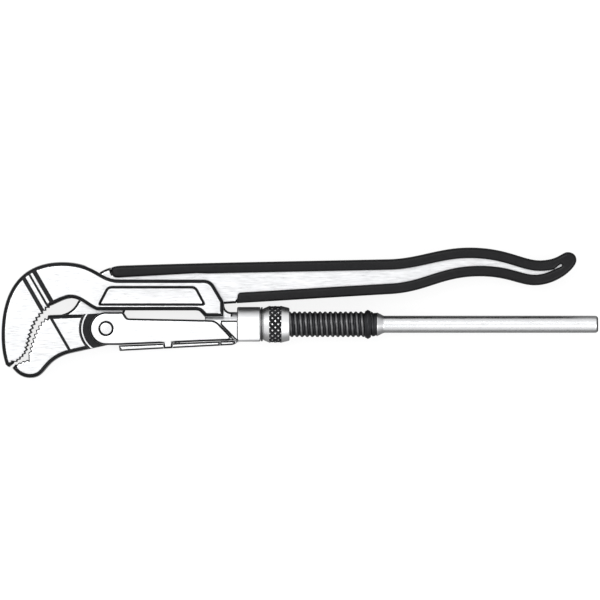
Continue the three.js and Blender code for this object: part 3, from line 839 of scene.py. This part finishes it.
def plate_steel(name, shades, roughness, stretch=(1, 14, 14), skinned=None):
    """Rolled or turned steel with fine lines along one direction. skinned is the Finish rule that
    says where it is bright, and the rest is black skin."""
    finish = Finish(name)
    clouds = finish.noise(90, detail=5)
    lines = finish.noise(150, stretch=stretch, detail=3)
    colour = finish.blend(clouds, *shades)
    rough = finish.between(lines, 0.3, 0.7, *roughness)
    height = finish.times(lines, 0.3)
    if skinned:
        flat = skinned(finish)
        skin, skin_rough, skin_height = black_skin(finish)
        colour = finish.blend(flat, skin, colour)
        rough = finish.mix(flat, skin_rough, rough)
        height = finish.mix(flat, skin_height, height)
        finish.set(Metallic=finish.mix(flat, SKIN_METAL, 1.0), Specular_IOR_Level=0.2)
    else:
        finish.set(Metallic=1.0)
    finish.set(Base_Color=colour, Roughness=rough)
    finish.bump(height, 0.00008, 0.5)
    return finish.material


def black_oxide(name, bare_and_highlight_colour=(0.5, 0.5, 0.51)):
    """Blued steel: nearly black, with bare metal where the edges wear, and lighter along the thread's
    crests, partly as wear and partly as painted highlight.
    """
    finish = Finish(name)
    grain = finish.noise(1400, detail=4)
    clouds = finish.noise(160, detail=5)
    base = finish.blend(clouds, (0.014, 0.0145, 0.016), (0.034, 0.035, 0.038))
    touched = finish.larger(finish.edges(0.53, 0.66), finish.painted("rubbed_and_highlight"))
    rubbed_and_highlight = finish.times(touched, finish.between(clouds, 0.36, 0.6, 0.35, 0.9))
    finish.set(
        Base_Color=finish.blend(rubbed_and_highlight, base, bare_and_highlight_colour),
        Metallic=0.75,
        Roughness=finish.between(grain, 0.3, 0.7, 0.3, 0.5),
    )
    finish.bump(grain, 0.00003, 0.5)
    return finish.material


def black_enamel():
    """Dipped semi-gloss enamel with a slight orange peel over the forging."""
    finish = Finish("black_enamel")
    peel = finish.noise(420, detail=2, roughness=0.4)
    dust = finish.noise(2600, detail=2)
    clouds = finish.noise(70, detail=4)
    base = finish.blend(clouds, (0.004, 0.004, 0.0045), (0.0085, 0.0085, 0.0095))
    chips = finish.times(finish.edges(0.56, 0.6), finish.between(dust, 0.62, 0.68))
    finish.set(
        Base_Color=finish.blend(chips, base, (0.2, 0.2, 0.21)),
        Roughness=finish.between(peel, 0.3, 0.7, 0.28, 0.42),
        Specular_IOR_Level=0.16,
    )
    finish.bump(finish.math("ADD", peel, finish.times(dust, 0.12)), 0.00012, 0.5)
    return finish.material


def knurled_steel():
    """Turned steel whose knurled band is blued, with bright tips on its diamonds."""
    finish = Finish("nut_steel")
    lines = finish.noise(160, stretch=(14, 1, 1), detail=3)
    clouds = finish.noise(220, detail=4)
    covered = finish.between(finish.painted("blued"), 0.14, 0.34, smooth=True)
    bright = finish.blend(clouds, (0.8, 0.805, 0.81), (0.87, 0.872, 0.875))
    blue = finish.blend(clouds, (0.012, 0.012, 0.014), (0.03, 0.03, 0.033))
    finish.set(
        Base_Color=finish.blend(covered, bright, blue),
        Metallic=finish.mix(covered, 1.0, SKIN_METAL),
        Roughness=finish.mix(covered, finish.between(lines, 0.3, 0.7, 0.3, 0.38), 0.42),
    )
    finish.bump(lines, 0.00002, 0.05)
    return finish.material


FORGED = forged_steel()
SHACKLE = plate_steel("shackle_steel", PLATE_SHADES, (0.24, 0.36), skinned=Finish.not_flat_rim)
COLLAR = plate_steel("collar_steel", PLATE_SHADES, (0.3, 0.42), skinned=Finish.not_end_rim)
PIN = plate_steel("pin_steel", PIN_SHADES, PIN_ROUGH, (6, 6, 1), skinned=Finish.not_flat_rim)
RIVET = plate_steel("rivet_steel", PIN_SHADES, PIN_ROUGH, (6, 1, 6))
ROD = plate_steel("rod_steel", GROUND_SHADES, (0.22, 0.34), skinned=Finish.not_steep_rim)
NUT = knurled_steel()
SPRING = black_oxide("spring_steel")
# Its light colour also goes on the thread's crests as painted highlight, besides wear.
OXIDE = black_oxide("black_oxide", (0.17, 0.17, 0.173))
ENAMEL = black_enamel()


# ---- Hook leg: the head, its teeth, arm and neck; then the thread and the round handle ----
def stepped(point, steps):
    """The half thickness behind a leaning line, and the lines where it changes."""
    across = np.array([math.cos(STEP_LEAN), math.sin(STEP_LEAN)])
    along = np.array([-across[1], across[0]])
    places, halves = zip(*steps)

    def half(points):
        return np.interp((points - np.array(point)) @ across, places, halves)

    reach = np.arange(-60, 61, FILL_SPACING)
    lines = [[point + across * s + along * r for r in reach] for s in places]
    return half, lines


def hook_outline():
    face = [(-39.4, 12.9), (-53.9, 2), (-52.6, -7.7), (-56.6, -19.5)]
    chin = [(-56.6, -19.5), (-58.8, -23), (-61.6, -26.1), (-67, -27.8)]
    outline = Outline(*face[0]).teeth(face, TOOTH_PITCH, TOOTH_DEPTH, 1)
    outline.teeth(chin, CHIN_PITCH, HOOK_CHIN_DEPTH, 1)
    outline.line((-68, -30.2), (-69.0, -30.0), (-70.7, -28.6))
    outline.curve((-73, -22), (-73.8, -15), (-73.8, -7.5))
    outline.curve((-73.8, 17), (-65.1, 43.8), (-30.9, 43.8), 40)
    outline.curve((-7.5, 43.8), (-4, 31.8), (9, 31.8), 30)
    outline.line((68.2, 31.8)).corner((74, 31.8), (76.8, 27))
    outline.line((82.4, 17.4)).corner((83, 16.4), (83, 15.2)).line((83, 5), (69.5, 5), (66.5, 8.2))
    outline.corner((65.3, 9.5), (62.6, 9.5)).line((-6.3, 9.5))
    outline.curve((-12.9, 11.2), (-17.5, 18.1), (-25.3, 18.1))
    outline.curve((-29.4, 18.1), (-36.2, 13.8), (-39.4, 12.9))
    return outline


def hook_head():
    step_half, lines = stepped(HOOK_STEP_POINT, HOOK_STEPS)
    corners = [(0.9, 27), (63.3, 27), (70.8, 12.9), (-6.5, 12.9)]
    panel = rounded_polygon(corners, RECESS_CORNER).closed()
    edge = panel[0]

    def half(points):
        """The stepped half thickness, less the recess with its smooth S-shaped sides."""
        share = np.clip(distance_to(points, *segments(edge)) * inside(points, edge) / RECESS_DRAFT, 0, 1)
        return step_half(points) - RECESS_DEPTH * share**2 * (3 - 2 * share)

    lines.append([*edge, edge[0]])
    for share in (0.25, 0.5, 0.75, 1.0):
        lines.extend(inset_runs(panel, np.ones(len(edge), bool), share * RECESS_DRAFT))
    head = relief("hook_forging", hook_outline(), half, HEAD_RIM, features=lines, wall=FORGED_WALL)
    fillet = Outline(79, 14.3).line((83, 14.3)).corner((83, 8.4), (89, 8.4)).line((89, 0), (79, 0))
    neck = [(NECK_FROM, 0), (NECK_FROM, NECK_RADIUS - 0.6), (NECK_FROM + 0.6, NECK_RADIUS)]
    neck += [(THREAD_FROM - 0.9, NECK_RADIUS), (THREAD_FROM, THREAD_ROOT - 0.05)]
    neck += [(THREAD_FROM + 0.4, 0)]
    head = join(head, relief("tool", fillet, FILLET_HALF, FILLET_RIM), revolve("tool", neck))
    slot = Outline(-27.5, 13).line((-15.5, 39.2), (-10.5, 50), (100, 50), (100, 10.5), (66, 10.5))
    slot.line((66, 3), (-27.5, 3))
    head = cut(head, relief("tool", slot, SLOT_HALF, TOOL_RIM, rim_steps=1))
    return cut(head, box(-13.5, 7, 32, 60, -RELIEF_HALF, RELIEF_HALF))


def shank_thread():
    """One rounded ridge that winds round the shank, fading out at both ends."""
    profile = [(0.0, 0.0), (0.1, 0.06), (0.22, 0.5), (0.32, 0.93), (0.42, 1.0)]
    profile += [(0.58, 1.0), (0.68, 0.93), (0.78, 0.5), (0.9, 0.06)]
    rise = THREAD_CREST - THREAD_ROOT
    first = math.floor((THREAD_FROM - THREAD_PHASE) / PITCH) - 2
    last = math.ceil((THREAD_TO - THREAD_PHASE) / PITCH)
    rows = [(turn + place, height) for turn in range(first, last + 1) for place, height in profile]
    vertices, faces, rubbed_and_highlight = [], [], []
    for place, height in rows:
        for k in range(THREAD_SIDES):
            axial = THREAD_PHASE + (place + k / THREAD_SIDES) * PITCH
            x = min(max(axial, THREAD_FROM), THREAD_TO)
            run_out = min(1, (x - THREAD_FROM) / PITCH, (THREAD_TO - x) / PITCH)
            groove = STOP_FROM - GAP < x < STOP_TO + GAP
            radius = THREAD_ROOT + (0 if groove else rise * height * run_out)
            angle = 2 * math.pi * k / THREAD_SIDES
            vertices.append((x, radius * math.cos(angle), radius * math.sin(angle)))
            # Highest on the crests: the thread's finish paints the crests lighter, partly as wear and
            # partly as painted highlight.
            rubbed_and_highlight.append(max(0.0, (radius - THREAD_ROOT) / rise - 0.9) / 0.1)
    count = len(profile)
    for i in range(len(rows) - 1):
        for k in range(THREAD_SIDES):
            # The last column joins the first one a whole turn later.
            a, b = i * THREAD_SIDES + k, (i + 1) * THREAD_SIDES + k
            if k + 1 < THREAD_SIDES:
                faces.append((a, b, b + 1, a + 1))
            elif i + 1 + count < len(rows):
                faces.append((a, b, (i + 1 + count) * THREAD_SIDES, (i + count) * THREAD_SIDES))
    return sealed(painted(mesh_object("shank_thread", vertices, faces), "rubbed_and_highlight", rubbed_and_highlight))


def round_handle():
    """The plain bar, from the cone at the end of the thread to its rounded end."""
    profile = [(THREAD_TO - 0.2, 0), (THREAD_TO - 0.2, THREAD_ROOT), (190.6, 8.35), (191.0, 8.2)]
    profile += [(192.6, 7.4), (194, 6.7), (195, 6.2), (195.6, ROD_RADIUS)]
    end, steps = ROD_END_RADIUS, 8
    for i in range(steps + 1):
        angle = math.pi / 2 * i / steps
        x = ROD_END - end * (1 - math.sin(angle))
        profile.append((x, ROD_RADIUS - end * (1 - math.cos(angle))))
    profile.append((ROD_END, 0))
    return revolve("round_handle", profile)


def open_ring(name, profile, gap, upward):
    """A spring ring with a gap, on its upper or its lower side."""
    ring = revolve(name, profile)
    low, high = (0, LONG_TOOL_REACH) if upward else (-LONG_TOOL_REACH, 0)
    xs = [x for x, _ in profile]
    return cut(ring, box(min(xs) - 1, max(xs) + 1, low, high, -gap / 2, gap / 2))


def thread_stop_ring():
    middle, shoulder, side = (STOP_FROM + STOP_TO) / 2, 9.25, 9.0
    profile = [(STOP_FROM, STOP_BORE), (STOP_FROM, side), (STOP_FROM + 0.2, shoulder)]
    profile += [(middle - 0.4, 10.2), (middle, STOP_RADIUS), (middle + 0.4, 10.2)]
    profile += [(STOP_TO - 0.2, shoulder), (STOP_TO, side), (STOP_TO, STOP_BORE)]
    return open_ring("thread_stop_ring_fine", profile, STOP_MOUTH, True)


# ---- Lever leg: the lower jaw with its web, and the enamelled flanges of the handle ----
EDGE_STEPS = 24
TOP_EDGE = [
    [(3, 39.9), (7, 41.4), (12, 41.4), (16.9, 41.5)],
    [(16.9, 41.5), (70, 43.4), (130, 44.3), (199.7, 45.8)],
    [(199.7, 45.8), (221, 46.6), (234, 54), (255.9, 54)],
    [(255.9, 54), (282, 54), (293.4, 45), (305.1, 45)],
    [(305.1, 45), (317.8, 45), (320.9, 50.8), (324.8, 50.8)],
]
TIP = [[(324.8, 50.8), (329.7, 50.8), (331, 47.5), (331, 45.2)]]
LOWER_EDGE = [
    [(331, 45.2), (331, 39.5), (317.4, 27.4), (301.6, 27.4)],
    [(301.6, 27.4), (290.5, 27.4), (283, 33.7), (262.9, 33.7)],
    [(262.9, 33.7), (236, 33.7), (226, 22.6), (199.7, 21.2)],
    [(199.7, 21.2), (164, 19.2), (128, 16.9), (92, 14.8)],
]


def web_outline():
    """The web, from the jaw to the tip of the handle. Along the handle the flanges hide its edge."""
    outline = Outline(-31, 7).curve((-25, 8.5), (-22, 12), (-20, 16)).line((-4.2, 36.8))
    outline.curve((-2, 38.1), (0.5, 39.2), (3, 39.9))
    for edge in [*TOP_EDGE, *TIP, *LOWER_EDGE]:
        outline.line(*beside(edge, np.arange(EDGE_STEPS) / EDGE_STEPS, -FLANGE_DEPTH / 2))
    outline.line((93, 16.5), (91.2, 14.77))
    return outline.line((83.7, 14.3), (14, 11.2), (10.2, 1.5), (0, PIN_Y), (-31, 0))


def lower_jaw_outline():
    face = [(-41.6, 4.2), (-48, 2.5), (-54.4, -18), (-53.8, -21.9)]
    chin = [(-54.4, -25.2), (-58.5, -25.8), (-62, -27.8), (-65.2, -29.5)]
    outline = Outline(0, 8.2).line((-9.8, 7.7), (-39.8, 6.5), (-40.8, 6.3))
    outline.teeth(face, TOOTH_PITCH, TOOTH_DEPTH, -1)
    outline.teeth(chin, CHIN_PITCH, LOWER_CHIN_DEPTH, -1).line((-66.1, -30.7))
    outline.curve((-62.4, -35.7), (-58.3, -37.8), (-53.4, -37.8))
    outline.curve((-41.1, -37.8), (-44.2, -25.5), (-25.3, -20.5), 30)
    outline.line((0, -14.9), (6, -13)).corner((8.5, -11.7), (10.5, -11.7)).line((14, -11.7))
    outline.corner((15.5, -11.2), (15.5, -10)).line((15.5, -2), (11, 0.5))
    return outline.arc((0, PIN_Y), BOSS_RADIUS, 21.6, 90, 24)


def on_pin(name, profile):
    """A piece turned about the pivot pin, from a profile of (z, radius)."""
    turn = Matrix.Rotation(-math.pi / 2, 4, "Y")
    return moved(revolve(name, profile), Matrix.Translation((0, PIN_Y, 0)) @ turn)


def lever_jaw():
    half, lines = stepped(LOWER_STEP_POINT, LOWER_STEPS)
    jaw = relief("lever_forging", lower_jaw_outline(), half, JAW_RIM, features=lines, wall=FORGED_WALL)
    rim_slope = (POCKET_RIM_RADIUS - POCKET_RADIUS) / (JAW_HALF - BOSS_HALF)
    past = JAW_HALF + 2
    pocket = [(BOSS_HALF, 0), (BOSS_HALF, POCKET_RADIUS - 0.5), (BOSS_HALF + 0.15, POCKET_RADIUS - 0.1)]
    pocket += [(BOSS_HALF + 0.6, POCKET_RADIUS + 0.3)]
    pocket += [(past, POCKET_RADIUS + rim_slope * (past - BOSS_HALF)), (past, 0)]
    for side in (-1, 1):
        jaw = cut(jaw, on_pin("tool", [(z * side, radius) for z, radius in pocket]))
    jaw = join(jaw, relief("tool", web_outline(), WEB_HALF, WEB_RIM, rim_steps=2))
    return cut(jaw, on_pin("tool", ring_profile(-TOOL_REACH, TOOL_REACH, PIN_RADIUS + GAP)))


def inner_edge(curves, low, high):
    """The inner edge of a flange: a chain of edge curves set in by the flange's depth."""
    places = np.arange(20) / 20
    points = np.concatenate([beside(curve, places, -FLANGE_DEPTH) for curve in curves])
    return [tuple(p) for p in points if low < p[0] < high]


def lever_flanges():
    """The raised rim round the web: top flange, solid tip and bottom flange in one outline."""
    rim = Outline(3.9, 40.0)
    for _, leaving, arriving, end in [*TOP_EDGE, *TIP, *LOWER_EDGE]:
        rim.curve(leaving, arriving, end, EDGE_STEPS)
    rim.line((92, 19.5)).corner((92, 22.6), (95, 22.8))
    rim.line(*inner_edge(LOWER_EDGE, 97, 312)[::-1], (320.2, 41.1), (320.4, 41.7), (319.8, 42.1))
    rim.line(*inner_edge(TOP_EDGE, 66, 316)[::-1], (64, 35.6), (8, 32.5))
    rim.corner((3.5, 32.5), (3.5, 36.9)).line((3.5, 39.6)).corner((3.5, 39.9), (3.9, 40.0), 3)
    return relief("handle_flanges", rim, FLANGE_HALF, FLANGE_RIM, wall=FORGED_WALL)


# ---- Shackle: cheeks, base strap, collar, pin, leaf spring and rivet ----
def strap_top(x):
    return -14.9 + 0.0413 * (x - 8.4)


def strap_bottom(x):
    return -18.8 + 0.0533 * (x - 9.8)


def cheek(name, side):
    """A side plate with a round end on the pin, and a tab that reaches down into the strap."""
    outline = Outline(0, 8.6).line((10.6, 8.6)).corner((12, 8.6), (12.7, 7.5)).line((14.1, 5.3))
    outline.corner((14.8, 4.2), (16.2, 4.15)).line((73, 3)).corner((77.6, 3), (80.3, -0.6))
    outline.line((90.6, strap_top(90.6) + GAP), (TAB_TO, strap_top(TAB_TO) + GAP))
    outline.line((TAB_TO, strap_bottom(TAB_TO)), (TAB_FROM, strap_bottom(TAB_FROM)))
    outline.line((TAB_FROM, strap_top(TAB_FROM) + GAP), (8.4, strap_top(8.4) + GAP))
    outline.line((0, PIN_Y - CHEEK_END_RADIUS)).arc((0, PIN_Y), CHEEK_END_RADIUS, 270, 90, 48)
    half = (CHEEK_OUT - CHEEK_IN) / 2
    hole = circle((0, PIN_Y), PIN_HEAD_RADIUS + 0.05, crisp=True)
    plate = relief(name, outline, half, PLATE_RIM, holes=[hole], crisp_rim=HOLE_RIM, rim_steps=3)
    return raised(plate, side * (CHEEK_IN + half))


def rivet_piece(name, profile):
    """A piece turned about the spring rivet, from a profile of (y, radius)."""
    turn = Matrix.Rotation(math.pi / 2, 4, "Z")
    return moved(revolve(name, profile, RIVET_SIDES), Matrix.Translation((RIVET_X, 0, 0)) @ turn)


def shackle_base():
    """The strap under the cheeks, notched for their tabs and countersunk for the spring's rivet."""
    right = SEAM_X - GAP / 2
    outline = Outline(9, strap_top(9)).line((9.5, strap_bottom(9.6) + 0.5))
    outline.corner((9.6, strap_bottom(9.8)), (10.3, strap_bottom(10.3)))
    outline.line((right, strap_bottom(right)), (right, strap_top(right)))
    strap = relief("base_strap", outline, CHEEK_OUT, STRAP_RIM, rim_steps=3)
    for side in (-1, 1):
        low, high = sorted((side * BOSS_HALF, side * TOOL_REACH))
        strap = cut(strap, box(TAB_FROM - GAP, TAB_TO + GAP, -LONG_TOOL_REACH, 0, low, high))
    bottom = strap_bottom(RIVET_X)
    wide, narrow = RIVET_SINK_RADIUS + 0.1, RIVET_RADIUS + 0.1
    sink = [(bottom - 3, 0), (bottom - 3, wide), (bottom + 0.4, wide)]
    sink += [(bottom + 1.6, narrow), (-8, narrow), (-8, 0)]
    return cut(strap, rivet_piece("tool", sink))


def slide_collar():
    """A ring with a square lower half, bored out over the shank and recessed for the nut's spigot."""
    r, corner = COLLAR_RADIUS, COLLAR_CORNER
    section = Outline(r, 0).arc((0, 0), r, 0, 180, 48)
    section.line((-r, -corner)).corner((-r, -r), (-corner, -r))
    section.line((corner, -r)).corner((r, -r), (r, -corner))
    bore = circle((0, 0), COLLAR_BORE)
    half = (COLLAR_TO - COLLAR_FROM) / 2
    ring = relief("slide_collar_fine", section, half, COLLAR_RIM, holes=[bore])
    # The section's plane becomes the YZ plane, and its thickness runs along the shank.
    middle = (COLLAR_FROM + COLLAR_TO) / 2
    moved(ring, Matrix(((0, 0, 1, middle), (0, 1, 0, 0), (-1, 0, 0, 0), (0, 0, 0, 1))))
    foot = box(SEAM_X + GAP / 2, COLLAR_FROM + 1, -13, -9.3, -BOSS_HALF, BOSS_HALF)
    collar = join(ring, foot)
    clear = COLLAR_BORE + 0.01
    throat = ring_profile(SEAM_X - 5, COLLAR_FROM + 2, clear)
    seat = ring_profile(SPIGOT_FROM - GAP, COLLAR_TO + 1, NUT_SEAT_RADIUS)
    groove = ring_profile(SNAP_FROM - GAP, SNAP_TO + GAP, SNAP_OUT + GAP)
    return cut(collar, *[revolve("tool", profile) for profile in (throat, seat, groove)])


def collar_plates():
    """The collar's side lugs, which meet the cheeks, and its foot, which goes on from the strap."""
    left = SEAM_X + GAP / 2
    lug_half = (COLLAR_RADIUS - CHEEK_IN) / 2
    foot = Outline(left, strap_top(left)).line((left, strap_bottom(left)), (88.2, strap_bottom(88.2)))
    foot.corner((90.4, -14.6), (92.8, -12.1)).line((92.8, strap_top(92.8)))
    plates = relief("collar_plates", foot, CHEEK_OUT - 0.02, STRAP_RIM, rim_steps=3)
    for side in (-1, 1):
        lug = Outline(80.6, 2.7).line((93.2, 2.7), (93.2, -11.6), (91.2, -11.2))
        lug.line((81, -0.8), (80.4, 0.2))
        plate = relief("tool", lug, lug_half, STRAP_RIM, rim_steps=3)
        plates = join(plates, raised(plate, side * (CHEEK_IN + lug_half)))
    return plates


def pivot_pin():
    """A pin peened over both cheeks, with a wide rounded rim round its flat ends."""
    end, radius = CHEEK_OUT, PIN_HEAD_RADIUS
    half = [(end, 0), (end, PIN_FLAT_RADIUS)]
    half += [(end - 0.35, radius - 0.75), (end - 0.85, radius - 0.25), (end - 1.2, radius - 0.02)]
    half += [(CHEEK_IN + 1.2, PIN_RADIUS)]
    profile = [(-z, r) for z, r in half] + half[::-1]
    return on_pin("pivot_pin_fine", profile)


def leaf_spring():
    """A strip that lies on the strap and rises towards the lever's heel, pierced for its rivet."""
    lie = SPRING_THICK / 2 + GAP
    curve = [(x, strap_top(x) + lie) for x in (58, 40, 30)] + [(11, -12.75)]
    places = np.arange(25) / 24
    sides = [beside(curve, places, side * SPRING_THICK / 2) for side in (-1, 1)]
    outline = Outline(*sides[0][0]).line(*sides[0][1:], *sides[1][::-1])
    spring = relief("leaf_spring_fine", outline, SPRING_HALF, SPRING_RIM, rim_steps=2)
    return cut(spring, rivet_piece("tool", ring_profile(-TOOL_REACH, -8, RIVET_RADIUS + 0.1)))


def spring_rivet():
    """A rivet with a countersunk foot and a domed head."""
    bottom = strap_bottom(RIVET_X) + 0.2
    seat = strap_top(RIVET_X) + GAP + SPRING_THICK + 0.45
    profile = [(bottom, 0), (bottom, RIVET_SINK_RADIUS - 0.15), (bottom + 0.15, RIVET_SINK_RADIUS)]
    profile += [(bottom + 0.3, RIVET_SINK_RADIUS), (bottom + 1.5, RIVET_RADIUS), (seat, RIVET_RADIUS)]
    steps = 7
    for i in range(steps):
        angle = math.pi / 2 * i / steps
        y = seat + RIVET_HEAD_RISE * math.sin(angle)
        profile.append((y, RIVET_HEAD_RADIUS * math.cos(angle)))
    profile.append((seat + RIVET_HEAD_RISE, 0))
    return rivet_piece("spring_rivet_fine", profile)


# ---- Adjusting nut, thrust washer and snap ring ----
def diamond(row, column):
    """Height of a point on the knurl: 0 in the crossing grooves, 1 on a diamond's small flat top."""
    heights = []
    for place in (row + column, row - column):
        share = place % (2 * KNURL_CELLS) / (2 * KNURL_CELLS)
        heights.append(1 - abs(2 * share - 1))
    return min(1.0, min(heights) * 1.45)


def nut_rings():
    """The nut's outline as (x, radius, knurl row) rings, round the bore and back along the outside.
    A ring has a radius, or a row number where it belongs to the knurl."""
    bore = THREAD_CREST + 0.35
    front = [(NUT_TO - 1.2, bore), (SPIGOT_FROM, bore), (SPIGOT_FROM, SPIGOT_RADIUS)]
    front += [(SNAP_FROM - GAP, SPIGOT_RADIUS), (SNAP_FROM - GAP, SNAP_IN - GAP)]
    front += [(SNAP_TO + GAP, SNAP_IN - GAP), (SNAP_TO + GAP, SPIGOT_RADIUS)]
    front += [(NUT_FROM, SPIGOT_RADIUS), (NUT_FROM, NUT_FACE_RADIUS - 0.3)]
    front += [(NUT_FROM + 0.3, NUT_FACE_RADIUS), (KNURL_FROM - 0.3, KNURL_SHOULDER)]
    front += [(KNURL_FROM, KNURL_RADIUS), (KNURL_FROM + 0.1, KNURL_RADIUS)]
    back = [(KNURL_TO - 0.1, KNURL_RADIUS), (KNURL_TO, KNURL_RADIUS), (KNURL_TO + 0.3, KNURL_SHOULDER)]
    back += [(NUT_TO - 0.9, 11.75), (NUT_TO - 0.3, 11.45), (NUT_TO, 11.0), (NUT_TO, bore + 0.9)]
    start, stop = KNURL_FROM + 0.25, KNURL_TO - 0.25
    rows = KNURL_ROWS * KNURL_CELLS
    knurl = [(start + (stop - start) * row / rows, None, row) for row in range(rows + 1)]
    return [*[(x, r, None) for x, r in front], *knurl, *[(x, r, None) for x, r in back]]


def adjusting_nut():
    """Turned cones at both ends of a band of raised diamonds, cut by two sets of crossing grooves."""
    columns = 2 * KNURL_DIAMONDS * KNURL_CELLS
    rings = nut_rings()
    vertices, blued, faces = [], [], []
    for x, radius, row in rings:
        for k in range(columns):
            height = 1.0 if row is None else diamond(row, k + KNURL_CELLS)
            r = radius if row is None else KNURL_RADIUS - KNURL_DEPTH * (1 - height)
            angle = 2 * math.pi * k / columns
            vertices.append((x, r * math.cos(angle), r * math.sin(angle)))
            inside_band = float(KNURL_FROM < x < KNURL_TO)
            blued.append(inside_band if row is None else 1 - max(0.0, (height - 0.8) / 0.2))
    for j, (_, _, row) in enumerate(rings):
        following = (j + 1) % len(rings)
        for k in range(columns):
            n = (k + 1) % columns
            a, b = j * columns + k, following * columns + k
            c, d = following * columns + n, j * columns + n
            if row is None or rings[following][2] is None:
                faces.append((a, b, c, d))
            elif (row - k - KNURL_CELLS) % KNURL_CELLS == 0:
                faces.extend([(a, b, c), (a, c, d)])
            else:
                faces.extend([(a, b, d), (b, c, d)])
    nut = mesh_object("adjusting_nut_fine", vertices, faces)
    return outwards(painted(nut, "blued", blued))


def thrust_washer():
    low, high = COLLAR_TO + GAP, NUT_FROM - GAP
    bore, rim, bevel = SPIGOT_RADIUS + GAP, WASHER_RADIUS, 0.2
    profile = [(low, bore), (low, rim - bevel), (low + bevel, rim)]
    profile += [(high - bevel, rim), (high, rim - bevel), (high, bore)]
    return revolve("thrust_washer_fine", profile)


def nut_snap_ring():
    profile = ring_profile(SNAP_FROM, SNAP_TO, SNAP_OUT, SNAP_IN)
    return open_ring("snap_ring_fine", profile, SNAP_MOUTH, False)


# ---- Pieces on their bodies ----
publish(hook_head(), "hook_frame", "forged_steel", FORGED, "hook_leg")
publish(shank_thread(), "hook_frame", "black_oxide", OXIDE)
publish(round_handle(), "hook_frame", "forged_steel", ROD)
publish(thread_stop_ring(), "hook_frame", "spring_steel", SPRING, "thread_stop_ring")
publish(lever_jaw(), "lever", "forged_steel", FORGED, "lever_leg")
publish(lever_flanges(), "lever", "black_enamel", ENAMEL)
publish(cheek("front_cheek", 1), "carriage", "shackle_steel", SHACKLE, "shackle_front_cheek")
publish(cheek("rear_cheek", -1), "carriage", "shackle_steel", SHACKLE, "shackle_rear_cheek")
publish(shackle_base(), "carriage", "shackle_steel", SHACKLE, "shackle_base")
publish(slide_collar(), "carriage", "shackle_steel", COLLAR, "slide_collar")
publish(collar_plates(), "carriage", "shackle_steel", SHACKLE)
publish(pivot_pin(), "carriage", "pin_steel", PIN, "pivot_pin")
publish(leaf_spring(), "carriage", "spring_steel", SPRING, "leaf_spring")
publish(spring_rivet(), "carriage", "pin_steel", RIVET, "spring_rivet")
publish(adjusting_nut(), "nut", "nut_steel", NUT, "adjusting_nut", angle=NUT_SHARP_ANGLE)
publish(thrust_washer(), "carriage", "spring_steel", OXIDE, "thrust_washer")
publish(nut_snap_ring(), "carriage", "spring_steel", SPRING, "nut_snap_ring")


# ---- Floor, light and camera ----
FLOOR_REACH = 20.0  # metres each way
FLOOR_SHADES = ((0.17, 0.17, 0.17), (0.18, 0.18, 0.18))
FLOOR_GLOW = 0.84
SKY_LEVELS = [(0.0, 0.4), (0.16, 0.6), (0.4, 0.92), (0.8, 1.0), (1.0, 1.02)]  # (height, level)
BACKDROP = (0.93, 0.93, 0.935)
VIEW_WIDTH = 0.4218
CAMERA_DISTANCE = 9.38
SENSOR_WIDTH = 36
LOOK_AT = Vector((0.00018, 0.00898, 0.026))


def floor():
    """A pale floor that glows for the camera only, so that it doesn't light the tool from below."""
    mesh = bpy.data.meshes.new("floor")
    square = [(-1, -1), (1, -1), (1, 1), (-1, 1)]
    corners = [(x * FLOOR_REACH, y * FLOOR_REACH, -0.0001) for x, y in square]
    mesh.from_pydata(corners, [], [(0, 1, 2, 3)])
    made = placed("floor", mesh)
    finish = Finish("pale_floor")
    grain = finish.noise(6, detail=2)
    seen = finish.add("ShaderNodeLightPath").outputs["Is Camera Ray"]
    finish.set(
        Base_Color=finish.blend(grain, *FLOOR_SHADES),
        Roughness=0.8,
        Specular_IOR_Level=0.0,
        Emission_Color=(1.0, 1.0, 1.0, 1.0),
        Emission_Strength=finish.times(seen, FLOOR_GLOW),
    )
    mesh.materials.append(finish.material)


def soft_light(name, place, size, power):
    data = bpy.data.lights.new(name, "AREA")
    data.size = size
    data.energy = power
    made = placed(name, data)
    made.location = place
    made.rotation_mode = "QUATERNION"
    made.rotation_quaternion = Vector(place).to_track_quat("Z", "Y")
    made.visible_camera = False


def sky():
    """A pale studio: bright overhead and darker towards the horizon, so that rounded edges show."""
    world = bpy.data.worlds.new("studio")
    bpy.context.scene.world = world
    world.use_nodes = True
    studio = Nodes(world.node_tree)
    place = studio.add("ShaderNodeTexCoord").outputs["Generated"]
    up = studio.add("ShaderNodeSeparateXYZ", Vector=place).outputs["Z"]
    ramp = studio.add("ShaderNodeValToRGB", Fac=up)
    ramp.color_ramp.interpolation = "EASE"
    while len(ramp.color_ramp.elements) < len(SKY_LEVELS):
        ramp.color_ramp.elements.new(0.5)
    for element, (height, level) in zip(ramp.color_ramp.elements, SKY_LEVELS):
        element.position = height
        element.color = (level, level, level * 1.005, 1)
    seen = studio.add("ShaderNodeLightPath").outputs["Is Camera Ray"]
    colour = studio.blend(seen, ramp.outputs["Color"], BACKDROP)
    studio.feed(studio.nodes["Background"], {"Color": colour, "Strength": 1.0})


def camera():
    """Straight above the tool through a very long lens, as a flat side view shows it."""
    data = bpy.data.cameras.new("camera")
    data.sensor_width = SENSOR_WIDTH
    data.lens = SENSOR_WIDTH * CAMERA_DISTANCE / VIEW_WIDTH
    data.clip_start = 0.1
    data.clip_end = 100
    made = placed("camera", data)
    made.location = LOOK_AT + Vector((0, 0, CAMERA_DISTANCE))
    bpy.context.scene.camera = made


floor()
soft_light("key", (-0.8, 0.8, 1.9), 1.2, 22)
soft_light("fill", (1.0, -0.8, 1.7), 1.4, 12)
sky()
camera()
bpy.context.scene.view_settings.view_transform = "Standard"
